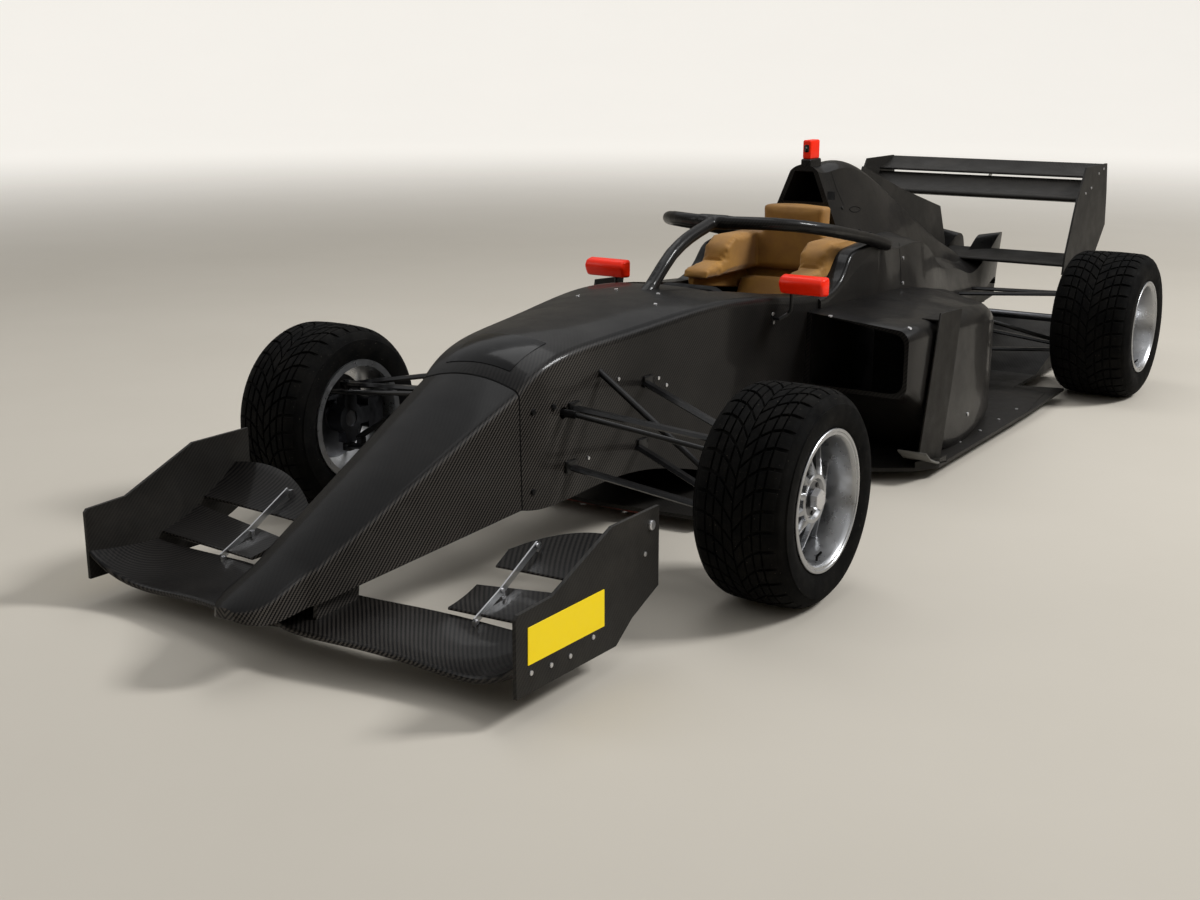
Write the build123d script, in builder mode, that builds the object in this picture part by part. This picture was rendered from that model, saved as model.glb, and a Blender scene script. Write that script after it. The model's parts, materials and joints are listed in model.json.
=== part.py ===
from build123d import *
import os
from math import cos, radians, sin

os.makedirs("parts", exist_ok=True)

# Open wheel racing car, in millimetres. The nose points to -Y, the driver's left is +X, the ground is Z = 0.
# Places along the car are written as the distance behind the front axle.

# Main sizes
WHEELBASE = 2900
FRONT_OVERHANG = 1160
REAR_OVERHANG = 805
OVERALL_WIDTH = 1850
FRONT_WIDTH = 1800
FRONT_AXLE_Y = (FRONT_OVERHANG - WHEELBASE - REAR_OVERHANG) / 2
SEAT_GAP = 0.5

# Wheels
FRONT_TYRE_RADIUS = 280
FRONT_TYRE_WIDTH = 256
REAR_TYRE_RADIUS = 290
REAR_TYRE_WIDTH = 312
BEAD_RADIUS = 165
FLANGE_RADIUS = 182
BARREL_WALL = 6
FLANGE_THICKNESS = 7
RIM_INSET = 6
CARCASS = 13
SPOKE_PAIRS = 5
SPOKE_THICKNESS = 12
HUB_DISC_RADIUS = 44
HUB_HOLE = 22
HUB_FACE_DEPTH = 34
SPOKE_DEPTH = 71
REAR_DISH = 40
DRIVE_INNER = 96
STUB_RADIUS = 25
BEARING_CLEARANCE = 0.05
DISC_RADIUS = 130
DISC_THICKNESS = 18
DISC_SLOT_CLEARANCE = 6
BOOT_RADIUS = 42
BOOT_LENGTH = 74
BOOT_CLEARANCE = 6
OUTPUT_RADIUS = 60
OUTPUT_HALF = 140
DRIVE_STUB_START = 672
UPRIGHT_INNER = 684
UPRIGHT_OUTER = 716
UPRIGHT_BOSS = 48
BOSS_LENGTH = 52
DISC_SLOT = 742
CALIPER_BEHIND = 109
CALIPER_LENGTH = 96
SHAFT_RADIUS = 16

# Front suspension and steering
KINGPIN_X = 700
KINGPIN_RADIUS = 8
UPPER_BALL_Z = 383
LOWER_BALL_Z = 190
EYE_RADIUS = 18
EYE_HEIGHT = 20
EYE_GAP = 7
STEERING_ARM = 78
STEERING_PIN_Z = 374
STEERING_PIN_RADIUS = 5
ROD_EYE_PLAY = 5
RACK_BEHIND = -122
RACK_Z = 434
RACK_RADIUS = 11
RACK_REACH = 225
RACK_HOLE_PLAY = 5
TRACK_ROD_RADIUS = 7
WISHBONE_CHORD = 34
WISHBONE_DEPTH = 14
PUSHROD_RADIUS = 9

# Floor
FLOOR_BOTTOM = 36
FLOOR_THICKNESS = 12
FLOOR_TOP = FLOOR_BOTTOM + FLOOR_THICKNESS
FLOOR_HALF = 690
LIP_HEIGHT = 20
PLANK_THICKNESS = 8
PLANK_HALF = 150
DIFFUSER_START = 2880
DIFFUSER_END = 3400
DIFFUSER_HALF = 500
DIFFUSER_RISE = 150

# Bodywork
MONOCOQUE_WALL = 28
NOSE_JOINT = -290
BULKHEAD = 1660
COCKPIT_FRONT = 700
COCKPIT_HALF = 225
COLUMN_RADIUS = 12
COLUMN_PLAY = 0.05
COCKPIT_SIDES_FRONT = 1400
AIRBOX_FRONT = 1640
AIRBOX_DEPTH = 330
AIRBOX_MOUTH = [(-80, 838), (80, 838), (36, 946), (-36, 946)]
AIRBOX_THROAT = [(-40, 820), (40, 820), (22, 890), (-22, 890)]
TAIL_END = 3450
FIN_THICKNESS = 8
RADIATOR_HEIGHT = 380
POD_END = 2620
TAILPIPE_Z = 396
TAILPIPE_RADIUS = 32
COVER_GAP = 4
JACK_LUG = 14
JACK_BORE = 10
ENGINE_BAY = 205
VANE_X = 660

# Wings
FRONT_WING_OUTER = 670
FRONT_PLATE = 9
REAR_WING_OUTER = 511
REAR_PLATE = 8
WING_EDGE = 3


def behind_axle(distance):
    """Row position along Y of a place this far behind the front axle."""
    return FRONT_AXLE_Y + distance


def cross_plane(distance):
    """Plane across the car: local x is the car's X, local y is up, and it faces forward."""
    return Plane(origin=(0, behind_axle(distance), 0), x_dir=(1, 0, 0), z_dir=(0, -1, 0))


def side_plane(x):
    """Plane along the car: local x is the distance behind the front axle, local y is up."""
    return Plane(origin=(x, FRONT_AXLE_Y, 0), x_dir=(0, 1, 0), z_dir=(1, 0, 0))


def level_plane(height):
    """Level plane: local x is the car's X, local y is the distance behind the front axle."""
    return Plane(origin=(0, FRONT_AXLE_Y, height), x_dir=(1, 0, 0), z_dir=(0, 0, 1))


def place(x, distance, height):
    """Point in the row frame from its distance behind the front axle."""
    return (x, behind_axle(distance), height)


def flat_outline(plane, points):
    """Closed polygon on a plane."""
    with BuildSketch(plane) as shape:
        with BuildLine():
            Polyline(*points, close=True)
        make_face()
    return shape.sketch


def bar(start, end, radius):
    """Adds a round bar from start to end to the piece being built."""
    run = Vector(*end) - Vector(*start)
    with BuildSketch(Plane(origin=start, z_dir=run)) as profile:
        Circle(radius)
    extrude(profile.sketch, amount=run.length)


def blade(start, end, chord, depth):
    """Adds a flat faired arm from start to end, its long side along the car."""
    run = Vector(*end) - Vector(*start)
    with BuildSketch(Plane(origin=start, x_dir=(0, 1, 0), z_dir=run)) as profile:
        Polygon(
            (-chord / 2, 0),
            (-chord / 4, -depth / 2),
            (chord / 4, -depth / 2),
            (chord / 2, 0),
            (chord / 4, depth / 2),
            (-chord / 4, depth / 2),
            align=None,
        )
    extrude(profile.sketch, amount=run.length)


def block(low, high, mode=Mode.ADD):
    """Adds a box between two opposite corners, given with distances behind the front axle."""
    width = high[0] - low[0]
    length = high[1] - low[1]
    with BuildSketch(level_plane(low[2])) as base:
        with Locations((low[0] + width / 2, low[1] + length / 2)):
            Rectangle(width, length)
    extrude(base.sketch, amount=high[2] - low[2], mode=mode)


def cylinder(plane, at, radius, amount, mode=Mode.ADD):
    """Adds or cuts a cylinder that stands on a plane at the given local place."""
    with BuildSketch(plane) as disc:
        with Locations(at):
            Circle(radius)
    extrude(disc.sketch, amount=amount, mode=mode)


def hull_section(distance, half_bottom, z_bottom, half_top, z_side, z_crown, edge, inset=0):
    """Cross-section of the body: flat bottom, straight sides, rounded shoulders and an arched top."""
    with BuildSketch(cross_plane(distance)) as section:
        with BuildLine():
            low = z_bottom + inset
            Polyline(
                (-half_top + inset, z_side - inset),
                (-half_bottom + inset, low),
                (half_bottom - inset, low),
                (half_top - inset, z_side - inset),
            )
            ThreePointArc(
                (half_top - inset, z_side - inset), (0, z_crown - inset), (-half_top + inset, z_side - inset)
            )
        make_face()
        fillet(section.vertices().group_by(Axis.Y)[-1], edge)
    return section.sketch


def pod_section(side, distance, inner, outer, z_bottom, z_inner, z_outer, edge, inset=0):
    """Cross-section of a sidepod: inner wall, sloping top, rounded outer side."""
    with BuildSketch(cross_plane(distance)) as section:
        with BuildLine():
            Polyline(
                (side * (inner + inset), z_bottom + inset),
                (side * (outer - inset), z_bottom + inset),
                (side * (outer - inset), z_outer - inset),
                (side * (inner + inset), z_inner - inset),
                close=True,
            )
        make_face()
        fillet(section.vertices().sort_by(Axis.X, reverse=side > 0)[0:2], edge)
    return section.sketch


def wing_section(x, front, z_front, rear, z_rear, thickness, sag):
    """Wing profile across the flow at one place along the span, hollow side up."""
    chord = Vector(rear - front, z_rear - z_front)
    up = Vector(-chord.Y, chord.X).normalized()
    middle = Vector((front + rear) / 2, (z_front + z_rear) / 2)
    upper = middle + up * (thickness / 2 - sag)
    lower = middle - up * (thickness / 2 + sag)
    nose = chord.normalized() * (thickness / 3)
    head = Vector(front, z_front) + nose
    head_up = head + up * (thickness / 3)
    head_low = head - up * (thickness / 3)
    tail = Vector(rear, z_rear)
    tail_up = tail + up * (WING_EDGE / 2)
    tail_low = tail - up * (WING_EDGE / 2)
    with BuildSketch(side_plane(x)) as profile:
        with BuildLine():
            ThreePointArc((head_up.X, head_up.Y), (upper.X, upper.Y), (tail_up.X, tail_up.Y))
            Line((tail_up.X, tail_up.Y), (tail_low.X, tail_low.Y))
            ThreePointArc((tail_low.X, tail_low.Y), (lower.X, lower.Y), (head_low.X, head_low.Y))
            ThreePointArc((head_low.X, head_low.Y), (front, z_front), (head_up.X, head_up.Y))
        make_face()
    return profile.sketch

# Monocoque: a hollow tub with an open cockpit
# columns: behind the axle, half width at the bottom, bottom, half width at the shoulder, shoulder, crown, edge
MONOCOQUE_SECTIONS = [
    (NOSE_JOINT, 165, 206, 160, 514, 545, 26),
    (0, 190, 203, 193, 600, 630, 26),
    (350, 212, 180, 233, 626, 650, 24),
    (700, 245, 90, 268, 634, 655, 22),
    (1000, 270, 40, 284, 602, 620, 22),
    (1400, 280, 40, 292, 585, 600, 20),
    (BULKHEAD, 270, 40, 288, 578, 592, 20),
]

with BuildPart() as tub_shape:
    loft(sections=[hull_section(*row) for row in MONOCOQUE_SECTIONS])
    block((-400, NOSE_JOINT - 1, 0), (400, BULKHEAD + 1, FLOOR_TOP), mode=Mode.SUBTRACT)

with BuildPart() as tub_inside:
    loft(sections=[hull_section(*row, inset=MONOCOQUE_WALL) for row in MONOCOQUE_SECTIONS])
    block((-400, NOSE_JOINT - 1, 0), (400, BULKHEAD + 1, FLOOR_TOP + MONOCOQUE_WALL), mode=Mode.SUBTRACT)
    block((-400, NOSE_JOINT - 1, 0), (400, NOSE_JOINT + MONOCOQUE_WALL, 700), mode=Mode.SUBTRACT)

COLUMN_TILT = 20
STEERING_WHEEL_BEHIND = 850
STEERING_WHEEL_Z = 560
DASH_BEHIND = 650
DASH_THICKNESS = 16
DASH_BOTTOM = 420
COLUMN_AXIS = Vector(0, cos(radians(COLUMN_TILT)), sin(radians(COLUMN_TILT)))
STEERING_CENTRE = Vector(*place(0, STEERING_WHEEL_BEHIND, STEERING_WHEEL_Z))

with BuildPart() as monocoque:
    add(tub_shape.part)
    add(tub_inside.part, mode=Mode.SUBTRACT)
    opening = flat_outline(
        level_plane(400),
        [
            (-150, COCKPIT_FRONT),
            (150, COCKPIT_FRONT),
            (COCKPIT_HALF, COCKPIT_FRONT + 190),
            (COCKPIT_HALF + 10, BULKHEAD - MONOCOQUE_WALL),
            (-COCKPIT_HALF - 10, BULKHEAD - MONOCOQUE_WALL),
            (-COCKPIT_HALF, COCKPIT_FRONT + 190),
        ],
    )
    extrude(opening, amount=400, mode=Mode.SUBTRACT)
    with BuildSketch(side_plane(-300)) as rack_hole:
        with Locations((RACK_BEHIND, RACK_Z)):
            Circle(RACK_RADIUS + RACK_HOLE_PLAY)
    extrude(rack_hole.sketch, amount=600, mode=Mode.SUBTRACT)
monocoque.part.label = "monocoque"
export_step(monocoque.part, "parts/monocoque.step")

with BuildPart() as dash_bulkhead:
    block((-300, DASH_BEHIND, DASH_BOTTOM), (300, DASH_BEHIND + DASH_THICKNESS, 700))
    add(tub_inside.part, mode=Mode.INTERSECT)
    with BuildSketch(Plane(origin=STEERING_CENTRE - COLUMN_AXIS * 300, z_dir=COLUMN_AXIS)) as column_hole:
        Circle(COLUMN_RADIUS + COLUMN_PLAY)
    extrude(column_hole.sketch, amount=300, mode=Mode.SUBTRACT)
dash_bulkhead.part.label = "dash_bulkhead"
export_step(dash_bulkhead.part, "parts/dash_bulkhead.step")

# Nose cone: a hollow shell in front of the front bulkhead
# columns: behind the axle, half width at the bottom, bottom, half width at the shoulder, shoulder, crown, edge
NOSE_SECTIONS = [
    (-FRONT_OVERHANG, 28, 152, 26, 172, 178, 6),
    (-1140, 56, 142, 52, 172, 186, 12),
    (-1090, 76, 135, 73, 184, 203, 16),
    (-960, 91, 144, 90, 225, 249, 20),
    (NOSE_JOINT, 165, 206, 160, 514, 545, 26),
]
NOSE_WALL = 10

with BuildPart() as nose_shape:
    loft(sections=[hull_section(*row) for row in NOSE_SECTIONS[:4]])
    loft(sections=[hull_section(*row) for row in NOSE_SECTIONS[3:]], ruled=True)

with BuildPart() as nose_cone:
    add(nose_shape.part)
    loft(sections=[hull_section(*row, inset=NOSE_WALL) for row in NOSE_SECTIONS[3:]], ruled=True, mode=Mode.SUBTRACT)
nose_cone.part.label = "nose_cone"
export_step(nose_cone.part, "parts/nose_cone.step")

# Front wing
# columns: distance from the centre, front, front height, rear, rear height, thickness, sag
MAINPLANE_SECTIONS = [
    (0, -1005, 88, -790, 104, 24, 8),
    (200, -1003, 84, -785, 108, 24, 10),
    (320, -985, 76, -780, 110, 26, 16),
    (560, -980, 74, -778, 108, 26, 18),
    (FRONT_WING_OUTER - FRONT_PLATE, -996, 132, -778, 112, 22, 10),
]
FLAP_ONE_SECTIONS = [
    (315, -780, 122, -672, 148, 12, 7),
    (FRONT_WING_OUTER - FRONT_PLATE, -764, 126, -632, 170, 12, 9),
]
FLAP_TWO_SECTIONS = [
    (325, -612, 176, -560, 205, 10, 3),
    (460, -612, 180, -496, 252, 12, 9),
    (FRONT_WING_OUTER - FRONT_PLATE, -612, 184, -496, 258, 12, 9),
]
PYLON_X = 62
PYLON_THICKNESS = 12

with BuildPart() as front_wing_mainplane:
    loft(sections=[wing_section(*row) for row in MAINPLANE_SECTIONS])
    mirror(about=Plane.YZ)
    for pylon_x in (PYLON_X, -PYLON_X):
        pylon = flat_outline(
            side_plane(pylon_x - PYLON_THICKNESS / 2),
            [(-950, 95), (-810, 95), (-790, 230), (-930, 200)],
        )
        extrude(pylon, amount=PYLON_THICKNESS)
    add(nose_shape.part, mode=Mode.SUBTRACT)
front_wing_mainplane.part.label = "front_wing_mainplane"
export_step(front_wing_mainplane.part, "parts/front_wing_mainplane.step")

with BuildPart() as front_wing_flaps:
    loft(sections=[wing_section(*row) for row in FLAP_ONE_SECTIONS])
    loft(sections=[wing_section(*row) for row in FLAP_TWO_SECTIONS])
    mirror(about=Plane.YZ)
front_wing_flaps.part.label = "front_wing_flaps"
export_step(front_wing_flaps.part, "parts/front_wing_flaps.step")

FRONT_PLATE_OUTLINE = [
    (-998, 66),
    (-998, 240),
    (-990, 248),
    (-869, 252),
    (-639, 344),
    (-441, 344),
    (-441, 150),
    (-555, 104),
    (-622, 58),
]
with BuildPart() as front_wing_endplates:
    extrude(flat_outline(side_plane(FRONT_WING_OUTER - FRONT_PLATE), FRONT_PLATE_OUTLINE), amount=FRONT_PLATE)
    mirror(about=Plane.YZ)
front_wing_endplates.part.label = "front_wing_endplates"
export_step(front_wing_endplates.part, "parts/front_wing_endplates.step")

# Flap adjusters: a flat metal strip over each side's flaps, on three posts
ADJUSTER_X = 403
ADJUSTER_WIDTH = 4
ADJUSTER_POSTS = [102.5, 138.5, 210]
ADJUSTER_TOP = [(-800, 124), (-700, 166), (-556, 240)]
with BuildPart() as flap_adjusters:
    strip = [(y, z) for y, z in ADJUSTER_TOP] + [(y + 6, z - 16) for y, z in reversed(ADJUSTER_TOP)]
    extrude(flat_outline(side_plane(ADJUSTER_X), strip), amount=ADJUSTER_WIDTH)
    for post_z, (top_y, top_z) in zip(ADJUSTER_POSTS, ADJUSTER_TOP):
        block((ADJUSTER_X - 5, top_y + 3, post_z), (ADJUSTER_X + ADJUSTER_WIDTH, top_y + 15, top_z - 8))
    mirror(about=Plane.YZ)
    add(front_wing_mainplane.part, mode=Mode.SUBTRACT)
    add(front_wing_flaps.part, mode=Mode.SUBTRACT)
flap_adjusters.part.label = "flap_adjusters"
export_step(flap_adjusters.part, "parts/flap_adjusters.step")

# Floor with its narrow front tray, the plank under it and the rising diffuser
FLOOR_OUTLINE = [
    (0, 325),
    (330, 360),
    (350, 420),
    (350, 1010),
    (640, 1215),
    (FLOOR_HALF, 1300),
    (FLOOR_HALF, 2180),
    (640, 2560),
    (DIFFUSER_HALF, 2610),
    (DIFFUSER_HALF, DIFFUSER_START),
    (0, DIFFUSER_START),
]
with BuildPart() as floor:
    extrude(flat_outline(level_plane(FLOOR_BOTTOM), FLOOR_OUTLINE), amount=FLOOR_THICKNESS)
    diffuser = flat_outline(
        side_plane(0),
        [
            (DIFFUSER_START, FLOOR_BOTTOM),
            (DIFFUSER_END, FLOOR_BOTTOM + DIFFUSER_RISE),
            (DIFFUSER_END, FLOOR_TOP + DIFFUSER_RISE),
            (DIFFUSER_START, FLOOR_TOP),
        ],
    )
    extrude(diffuser, amount=DIFFUSER_HALF)
    for fence_x in (DIFFUSER_HALF - 6, DIFFUSER_HALF * 0.6, DIFFUSER_HALF * 0.25):
        fence = flat_outline(
            side_plane(fence_x),
            [
                (DIFFUSER_START, FLOOR_BOTTOM),
                (DIFFUSER_END, FLOOR_BOTTOM + 15),
                (DIFFUSER_END, FLOOR_BOTTOM + DIFFUSER_RISE),
            ],
        )
        extrude(fence, amount=6)
    edge_lip = flat_outline(
        level_plane(FLOOR_TOP),
        [(640, 1215), (FLOOR_HALF, 1300), (FLOOR_HALF, 1360), (FLOOR_HALF - 6, 1360), (FLOOR_HALF - 6, 1303), (635, 1219)],
    )
    extrude(edge_lip, amount=LIP_HEIGHT)
    mirror(about=Plane.YZ)
floor.part.label = "floor"
export_step(floor.part, "parts/floor.step")

with BuildPart() as skid_plank:
    plank = flat_outline(
        level_plane(FLOOR_BOTTOM - PLANK_THICKNESS),
        [
            (-PLANK_HALF, 345),
            (PLANK_HALF, 345),
            (PLANK_HALF, DIFFUSER_START - 20),
            (-PLANK_HALF, DIFFUSER_START - 20),
        ],
    )
    extrude(plank, amount=PLANK_THICKNESS)
skid_plank.part.label = "skid_plank"
export_step(skid_plank.part, "parts/skid_plank.step")

# Headrest and seat: plain foam solids
HEADREST_HALF = 232
PAD_INNER = 140
HEADREST_BACK = BULKHEAD - MONOCOQUE_WALL - 2
PAD_OUTER = HEADREST_HALF + SEAT_GAP
with BuildPart() as headrest:
    pads = flat_outline(
        side_plane(-HEADREST_HALF),
        [(1195, 600), (1200, 622), (1398, 729), (HEADREST_BACK, 729), (HEADREST_BACK, 600)],
    )
    extrude(pads, amount=2 * HEADREST_HALF)
    block((-PAD_INNER, 1100, 500), (PAD_INNER, 1560, 800), mode=Mode.SUBTRACT)
    block((-118, 1560, 700), (118, HEADREST_BACK, 832))
headrest.part.label = "headrest"
export_step(headrest.part, "parts/headrest.step")

with BuildPart() as seat:
    seat_profile = flat_outline(
        side_plane(-185),
        [(760, 150), (1040, 92), (1330, 210), (1590, 590), (1545, 595), (1300, 265), (1050, 140), (765, 190)],
    )
    extrude(seat_profile, amount=370)
    add(tub_inside.part, mode=Mode.INTERSECT)
seat.part.label = "seat"
export_step(seat.part, "parts/seat.step")

# Engine as a plain block, gearbox, rear crash structure, rain light and tailpipe
with BuildPart() as engine:
    block((-190, BULKHEAD + 20, 84), (190, 2260, 430))
    block((-130, BULKHEAD + 60, 430), (130, 2200, 560))
engine.part.label = "engine"
export_step(engine.part, "parts/engine.step")

with BuildPart() as gearbox:
    loft(
        sections=[
            flat_outline(cross_plane(2260), [(-150, 90), (150, 90), (150, 400), (-150, 400)]),
            flat_outline(cross_plane(2700), [(-105, 120), (105, 120), (105, 380), (-105, 380)]),
            flat_outline(cross_plane(3060), [(-90, 190), (90, 190), (90, 370), (-90, 370)]),
        ],
        ruled=True,
    )
    cylinder(side_plane(-OUTPUT_HALF), (WHEELBASE, REAR_TYRE_RADIUS), OUTPUT_RADIUS, 2 * OUTPUT_HALF)
    for bore_start in (-OUTPUT_HALF, OUTPUT_HALF - 50):
        cylinder(
            side_plane(bore_start), (WHEELBASE, REAR_TYRE_RADIUS), BOOT_RADIUS + BOOT_CLEARANCE, 50, Mode.SUBTRACT
        )
gearbox.part.label = "gearbox"
export_step(gearbox.part, "parts/gearbox.step")

with BuildPart() as crash_structure:
    loft(
        sections=[
            flat_outline(cross_plane(3060), [(-75, 215), (75, 215), (75, 355), (-75, 355)]),
            flat_outline(cross_plane(3620), [(-48, 250), (48, 250), (48, 345), (-48, 345)]),
        ],
        ruled=True,
    )
    block((-JACK_LUG / 2, 3570, 215), (JACK_LUG / 2, 3620, 262))
    cylinder(side_plane(-JACK_LUG / 2), (3595, 238), JACK_BORE, JACK_LUG, Mode.SUBTRACT)
crash_structure.part.label = "crash_structure"
export_step(crash_structure.part, "parts/crash_structure.step")

with BuildPart() as rain_light:
    with BuildSketch(cross_plane(3620)) as lamp:
        with Locations((0, 298)):
            RectangleRounded(70, 80, 8)
    extrude(lamp.sketch, amount=-28)
rain_light.part.label = "rain_light"
export_step(rain_light.part, "parts/rain_light.step")

with BuildPart() as exhaust:
    cylinder(cross_plane(3100), (0, TAILPIPE_Z), TAILPIPE_RADIUS, -390)
    cylinder(cross_plane(3100), (0, TAILPIPE_Z), TAILPIPE_RADIUS - 3, -390, Mode.SUBTRACT)
    block((-8, 3110, 340), (8, 3150, TAILPIPE_Z - TAILPIPE_RADIUS + 2))
    add(crash_structure.part, mode=Mode.SUBTRACT)
exhaust.part.label = "exhaust"
export_step(exhaust.part, "parts/exhaust.step")

# Rear suspension, carried by the gearbox
REAR_BALL_X = 700
REAR_UPPER_Z = 402
REAR_LOWER_Z = 172
REAR_EYE_HALF = 12
with BuildPart() as rear_uprights:
    block(
        (UPRIGHT_INNER, WHEELBASE - 26, REAR_LOWER_Z + REAR_EYE_HALF),
        (UPRIGHT_OUTER, WHEELBASE + 26, REAR_UPPER_Z - REAR_EYE_HALF),
    )
    cylinder(side_plane(UPRIGHT_INNER), (WHEELBASE, REAR_TYRE_RADIUS), UPRIGHT_BOSS, BOSS_LENGTH)
    block((UPRIGHT_INNER, WHEELBASE + 20, 262), (UPRIGHT_OUTER, WHEELBASE + 100, 318))
    with BuildSketch(side_plane(UPRIGHT_INNER)) as rear_caliper:
        with Locations((WHEELBASE + CALIPER_BEHIND, REAR_TYRE_RADIUS)):
            RectangleRounded(66, 96, 12)
    extrude(rear_caliper.sketch, amount=CALIPER_LENGTH)
    cylinder(
        side_plane(DISC_SLOT),
        (WHEELBASE, REAR_TYRE_RADIUS),
        DISC_RADIUS + DISC_SLOT_CLEARANCE,
        DISC_THICKNESS + 2 * DISC_SLOT_CLEARANCE,
        Mode.SUBTRACT,
    )
    cylinder(
        side_plane(600), (WHEELBASE, REAR_TYRE_RADIUS), STUB_RADIUS + BEARING_CLEARANCE, 200, Mode.SUBTRACT
    )
    mirror(about=Plane.YZ)
rear_uprights.part.label = "rear_uprights"
export_step(rear_uprights.part, "parts/rear_uprights.step")

# columns: name, height at the wheel, then the inner ends as X, behind the axle, height
REAR_ARMS = [
    ("rear_upper_wishbones", REAR_UPPER_Z, [(85, 2760, 372), (70, 3030, 362)]),
    ("rear_lower_wishbones", REAR_LOWER_Z, [(90, 2640, 160), (75, 3040, 205)]),
]
rear_arms = {}
for arm_name, ball_z, pickups in REAR_ARMS:
    with BuildPart() as rear_wishbones:
        for pickup in pickups:
            blade(place(*pickup), place(REAR_BALL_X, WHEELBASE, ball_z), WISHBONE_CHORD, WISHBONE_DEPTH)
        cylinder(level_plane(ball_z - REAR_EYE_HALF), (REAR_BALL_X, WHEELBASE), EYE_RADIUS, 2 * REAR_EYE_HALF)
        add(gearbox.part, mode=Mode.SUBTRACT)
        add(rear_uprights.part, mode=Mode.SUBTRACT)
        mirror(about=Plane.YZ)
    rear_wishbones.part.label = arm_name
    export_step(rear_wishbones.part, f"parts/{arm_name}.step")
    rear_arms[arm_name] = rear_wishbones.part

with BuildPart() as rear_pushrods:
    bar(place(95, 2560, 372), place(650, 2890, 186), PUSHROD_RADIUS)
    add(gearbox.part, mode=Mode.SUBTRACT)
    add(rear_arms["rear_lower_wishbones"], mode=Mode.SUBTRACT)
    mirror(about=Plane.YZ)
rear_pushrods.part.label = "rear_pushrods"
export_step(rear_pushrods.part, "parts/rear_pushrods.step")
rear_arms["rear_pushrods"] = rear_pushrods.part

# Rear wing: two elements and a lower beam between flat end plates
REAR_WING_INNER = REAR_WING_OUTER - REAR_PLATE
# columns: front, front height, rear, rear height, thickness, sag
REAR_ELEMENTS = [(3262, 742, 3520, 808, 30, 26), (3500, 822, 3660, 872, 16, 12)]
BEAM_WING = (3120, 478, 3270, 512, 20, 8)
with BuildPart() as rear_wing_elements:
    for row in REAR_ELEMENTS:
        loft(sections=[wing_section(x, *row) for x in (-REAR_WING_INNER, REAR_WING_INNER)])
rear_wing_elements.part.label = "rear_wing_elements"
export_step(rear_wing_elements.part, "parts/rear_wing_elements.step")

with BuildPart() as beam_wing:
    loft(sections=[wing_section(x, *BEAM_WING) for x in (-REAR_WING_INNER, REAR_WING_INNER)])
beam_wing.part.label = "beam_wing"
export_step(beam_wing.part, "parts/beam_wing.step")

with BuildPart() as rear_wing_endplates:
    plate = flat_outline(
        side_plane(REAR_WING_INNER),
        [
            (3120, 440),
            (3140, 522),
            (3246, 738),
            (3353, 876),
            (3663, 876),
            (3690, 742),
            (3705, 602),
            (3579, 486),
            (3440, 440),
        ],
    )
    extrude(plate, amount=REAR_PLATE)
    mirror(about=Plane.YZ)
rear_wing_endplates.part.label = "rear_wing_endplates"
export_step(rear_wing_endplates.part, "parts/rear_wing_endplates.step")

# Cockpit sides: the raised edges beside the headrest, which carry the rear feet of the halo
# columns: behind the axle, outer half width at the bottom, bottom, outer half width at the top, top
SIDE_SECTIONS = [(COCKPIT_SIDES_FRONT, 298, 520, 292, 668), (1470, 297, 520, 288, 700), (AIRBOX_FRONT, 292, 520, 284, 702)]
with BuildPart() as cockpit_sides:
    loft(
        sections=[
            flat_outline(
                cross_plane(distance),
                [(PAD_OUTER, bottom), (half_bottom, bottom), (half_top, top - 24), (half_top - 26, top), (PAD_OUTER, top)],
            )
            for distance, half_bottom, bottom, half_top, top in SIDE_SECTIONS
        ],
        ruled=True,
    )
    add(tub_shape.part, mode=Mode.SUBTRACT)
    mirror(about=Plane.YZ)
cockpit_sides.part.label = "cockpit_sides"
export_step(cockpit_sides.part, "parts/cockpit_sides.step")

# Engine cover: airbox, spine and shoulders in one shell, open below
# columns: behind the axle, then half widths and heights of the bottom edge, the shoulder, the valley beside the
# spine and the spine's top edge, the crown, and the radius of the corners
COVER_SECTIONS = [
    (AIRBOX_FRONT, 292, 520, 284, 676, 154, 702, 54, 944, 968, 24),
    (1800, 290, 505, 278, 676, 146, 702, 54, 944, 968, 26),
    (2080, 284, 460, 262, 668, 130, 696, 46, 904, 928, 28),
    (2280, 270, 415, 242, 612, 118, 650, 43, 828, 850, 28),
    (2420, 248, 388, 218, 550, 108, 596, 41, 768, 790, 28),
    (2600, 216, 368, 190, 502, 96, 548, 40, 690, 712, 26),
    (2850, 184, 346, 160, 466, 82, 508, 39, 588, 608, 22),
    (3120, 158, 330, 136, 438, 62, 474, 36, 496, 514, 13),
    (TAIL_END, 108, 330, 96, 410, 48, 432, 28, 440, 450, 8),
]
# columns: behind the axle, half width and height of the engine bay under the cover
BAY_SECTIONS = [
    (1700, 258, 640),
    (2080, 240, 622),
    (2280, 218, 560),
    (2420, 192, 502),
    (2600, 166, 460),
    (2850, 138, 428),
    (3120, 116, 400),
    (TAIL_END + 1, 78, 378),
]


def cover_section(
    distance, half_bottom, bottom, half_shoulder, shoulder, half_valley, valley, half_crown, edge_height, crown, radius
):
    """Cross-section of the engine cover: shoulders on both sides of a narrow spine."""
    right = [
        (half_bottom, bottom),
        (half_shoulder, shoulder),
        (half_valley, valley),
        (half_crown, edge_height),
    ]
    left = [(-x, height) for x, height in reversed(right)]
    with BuildSketch(cross_plane(distance)) as section:
        with BuildLine():
            ThreePointArc(right[-1], (0, crown), left[0])
            Polyline(*left, *right)
        make_face()
        fillet([corner for corner in section.vertices() if corner.Z > bottom + 1], radius)
    return section.sketch


with BuildPart() as cover_shape:
    loft(sections=[cover_section(*row) for row in COVER_SECTIONS])

with BuildPart() as engine_bay:
    loft(
        sections=[
            flat_outline(cross_plane(distance), [(-half, 250), (half, 250), (half, top), (-half, top)])
            for distance, half, top in BAY_SECTIONS
        ],
        ruled=True,
    )

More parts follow.
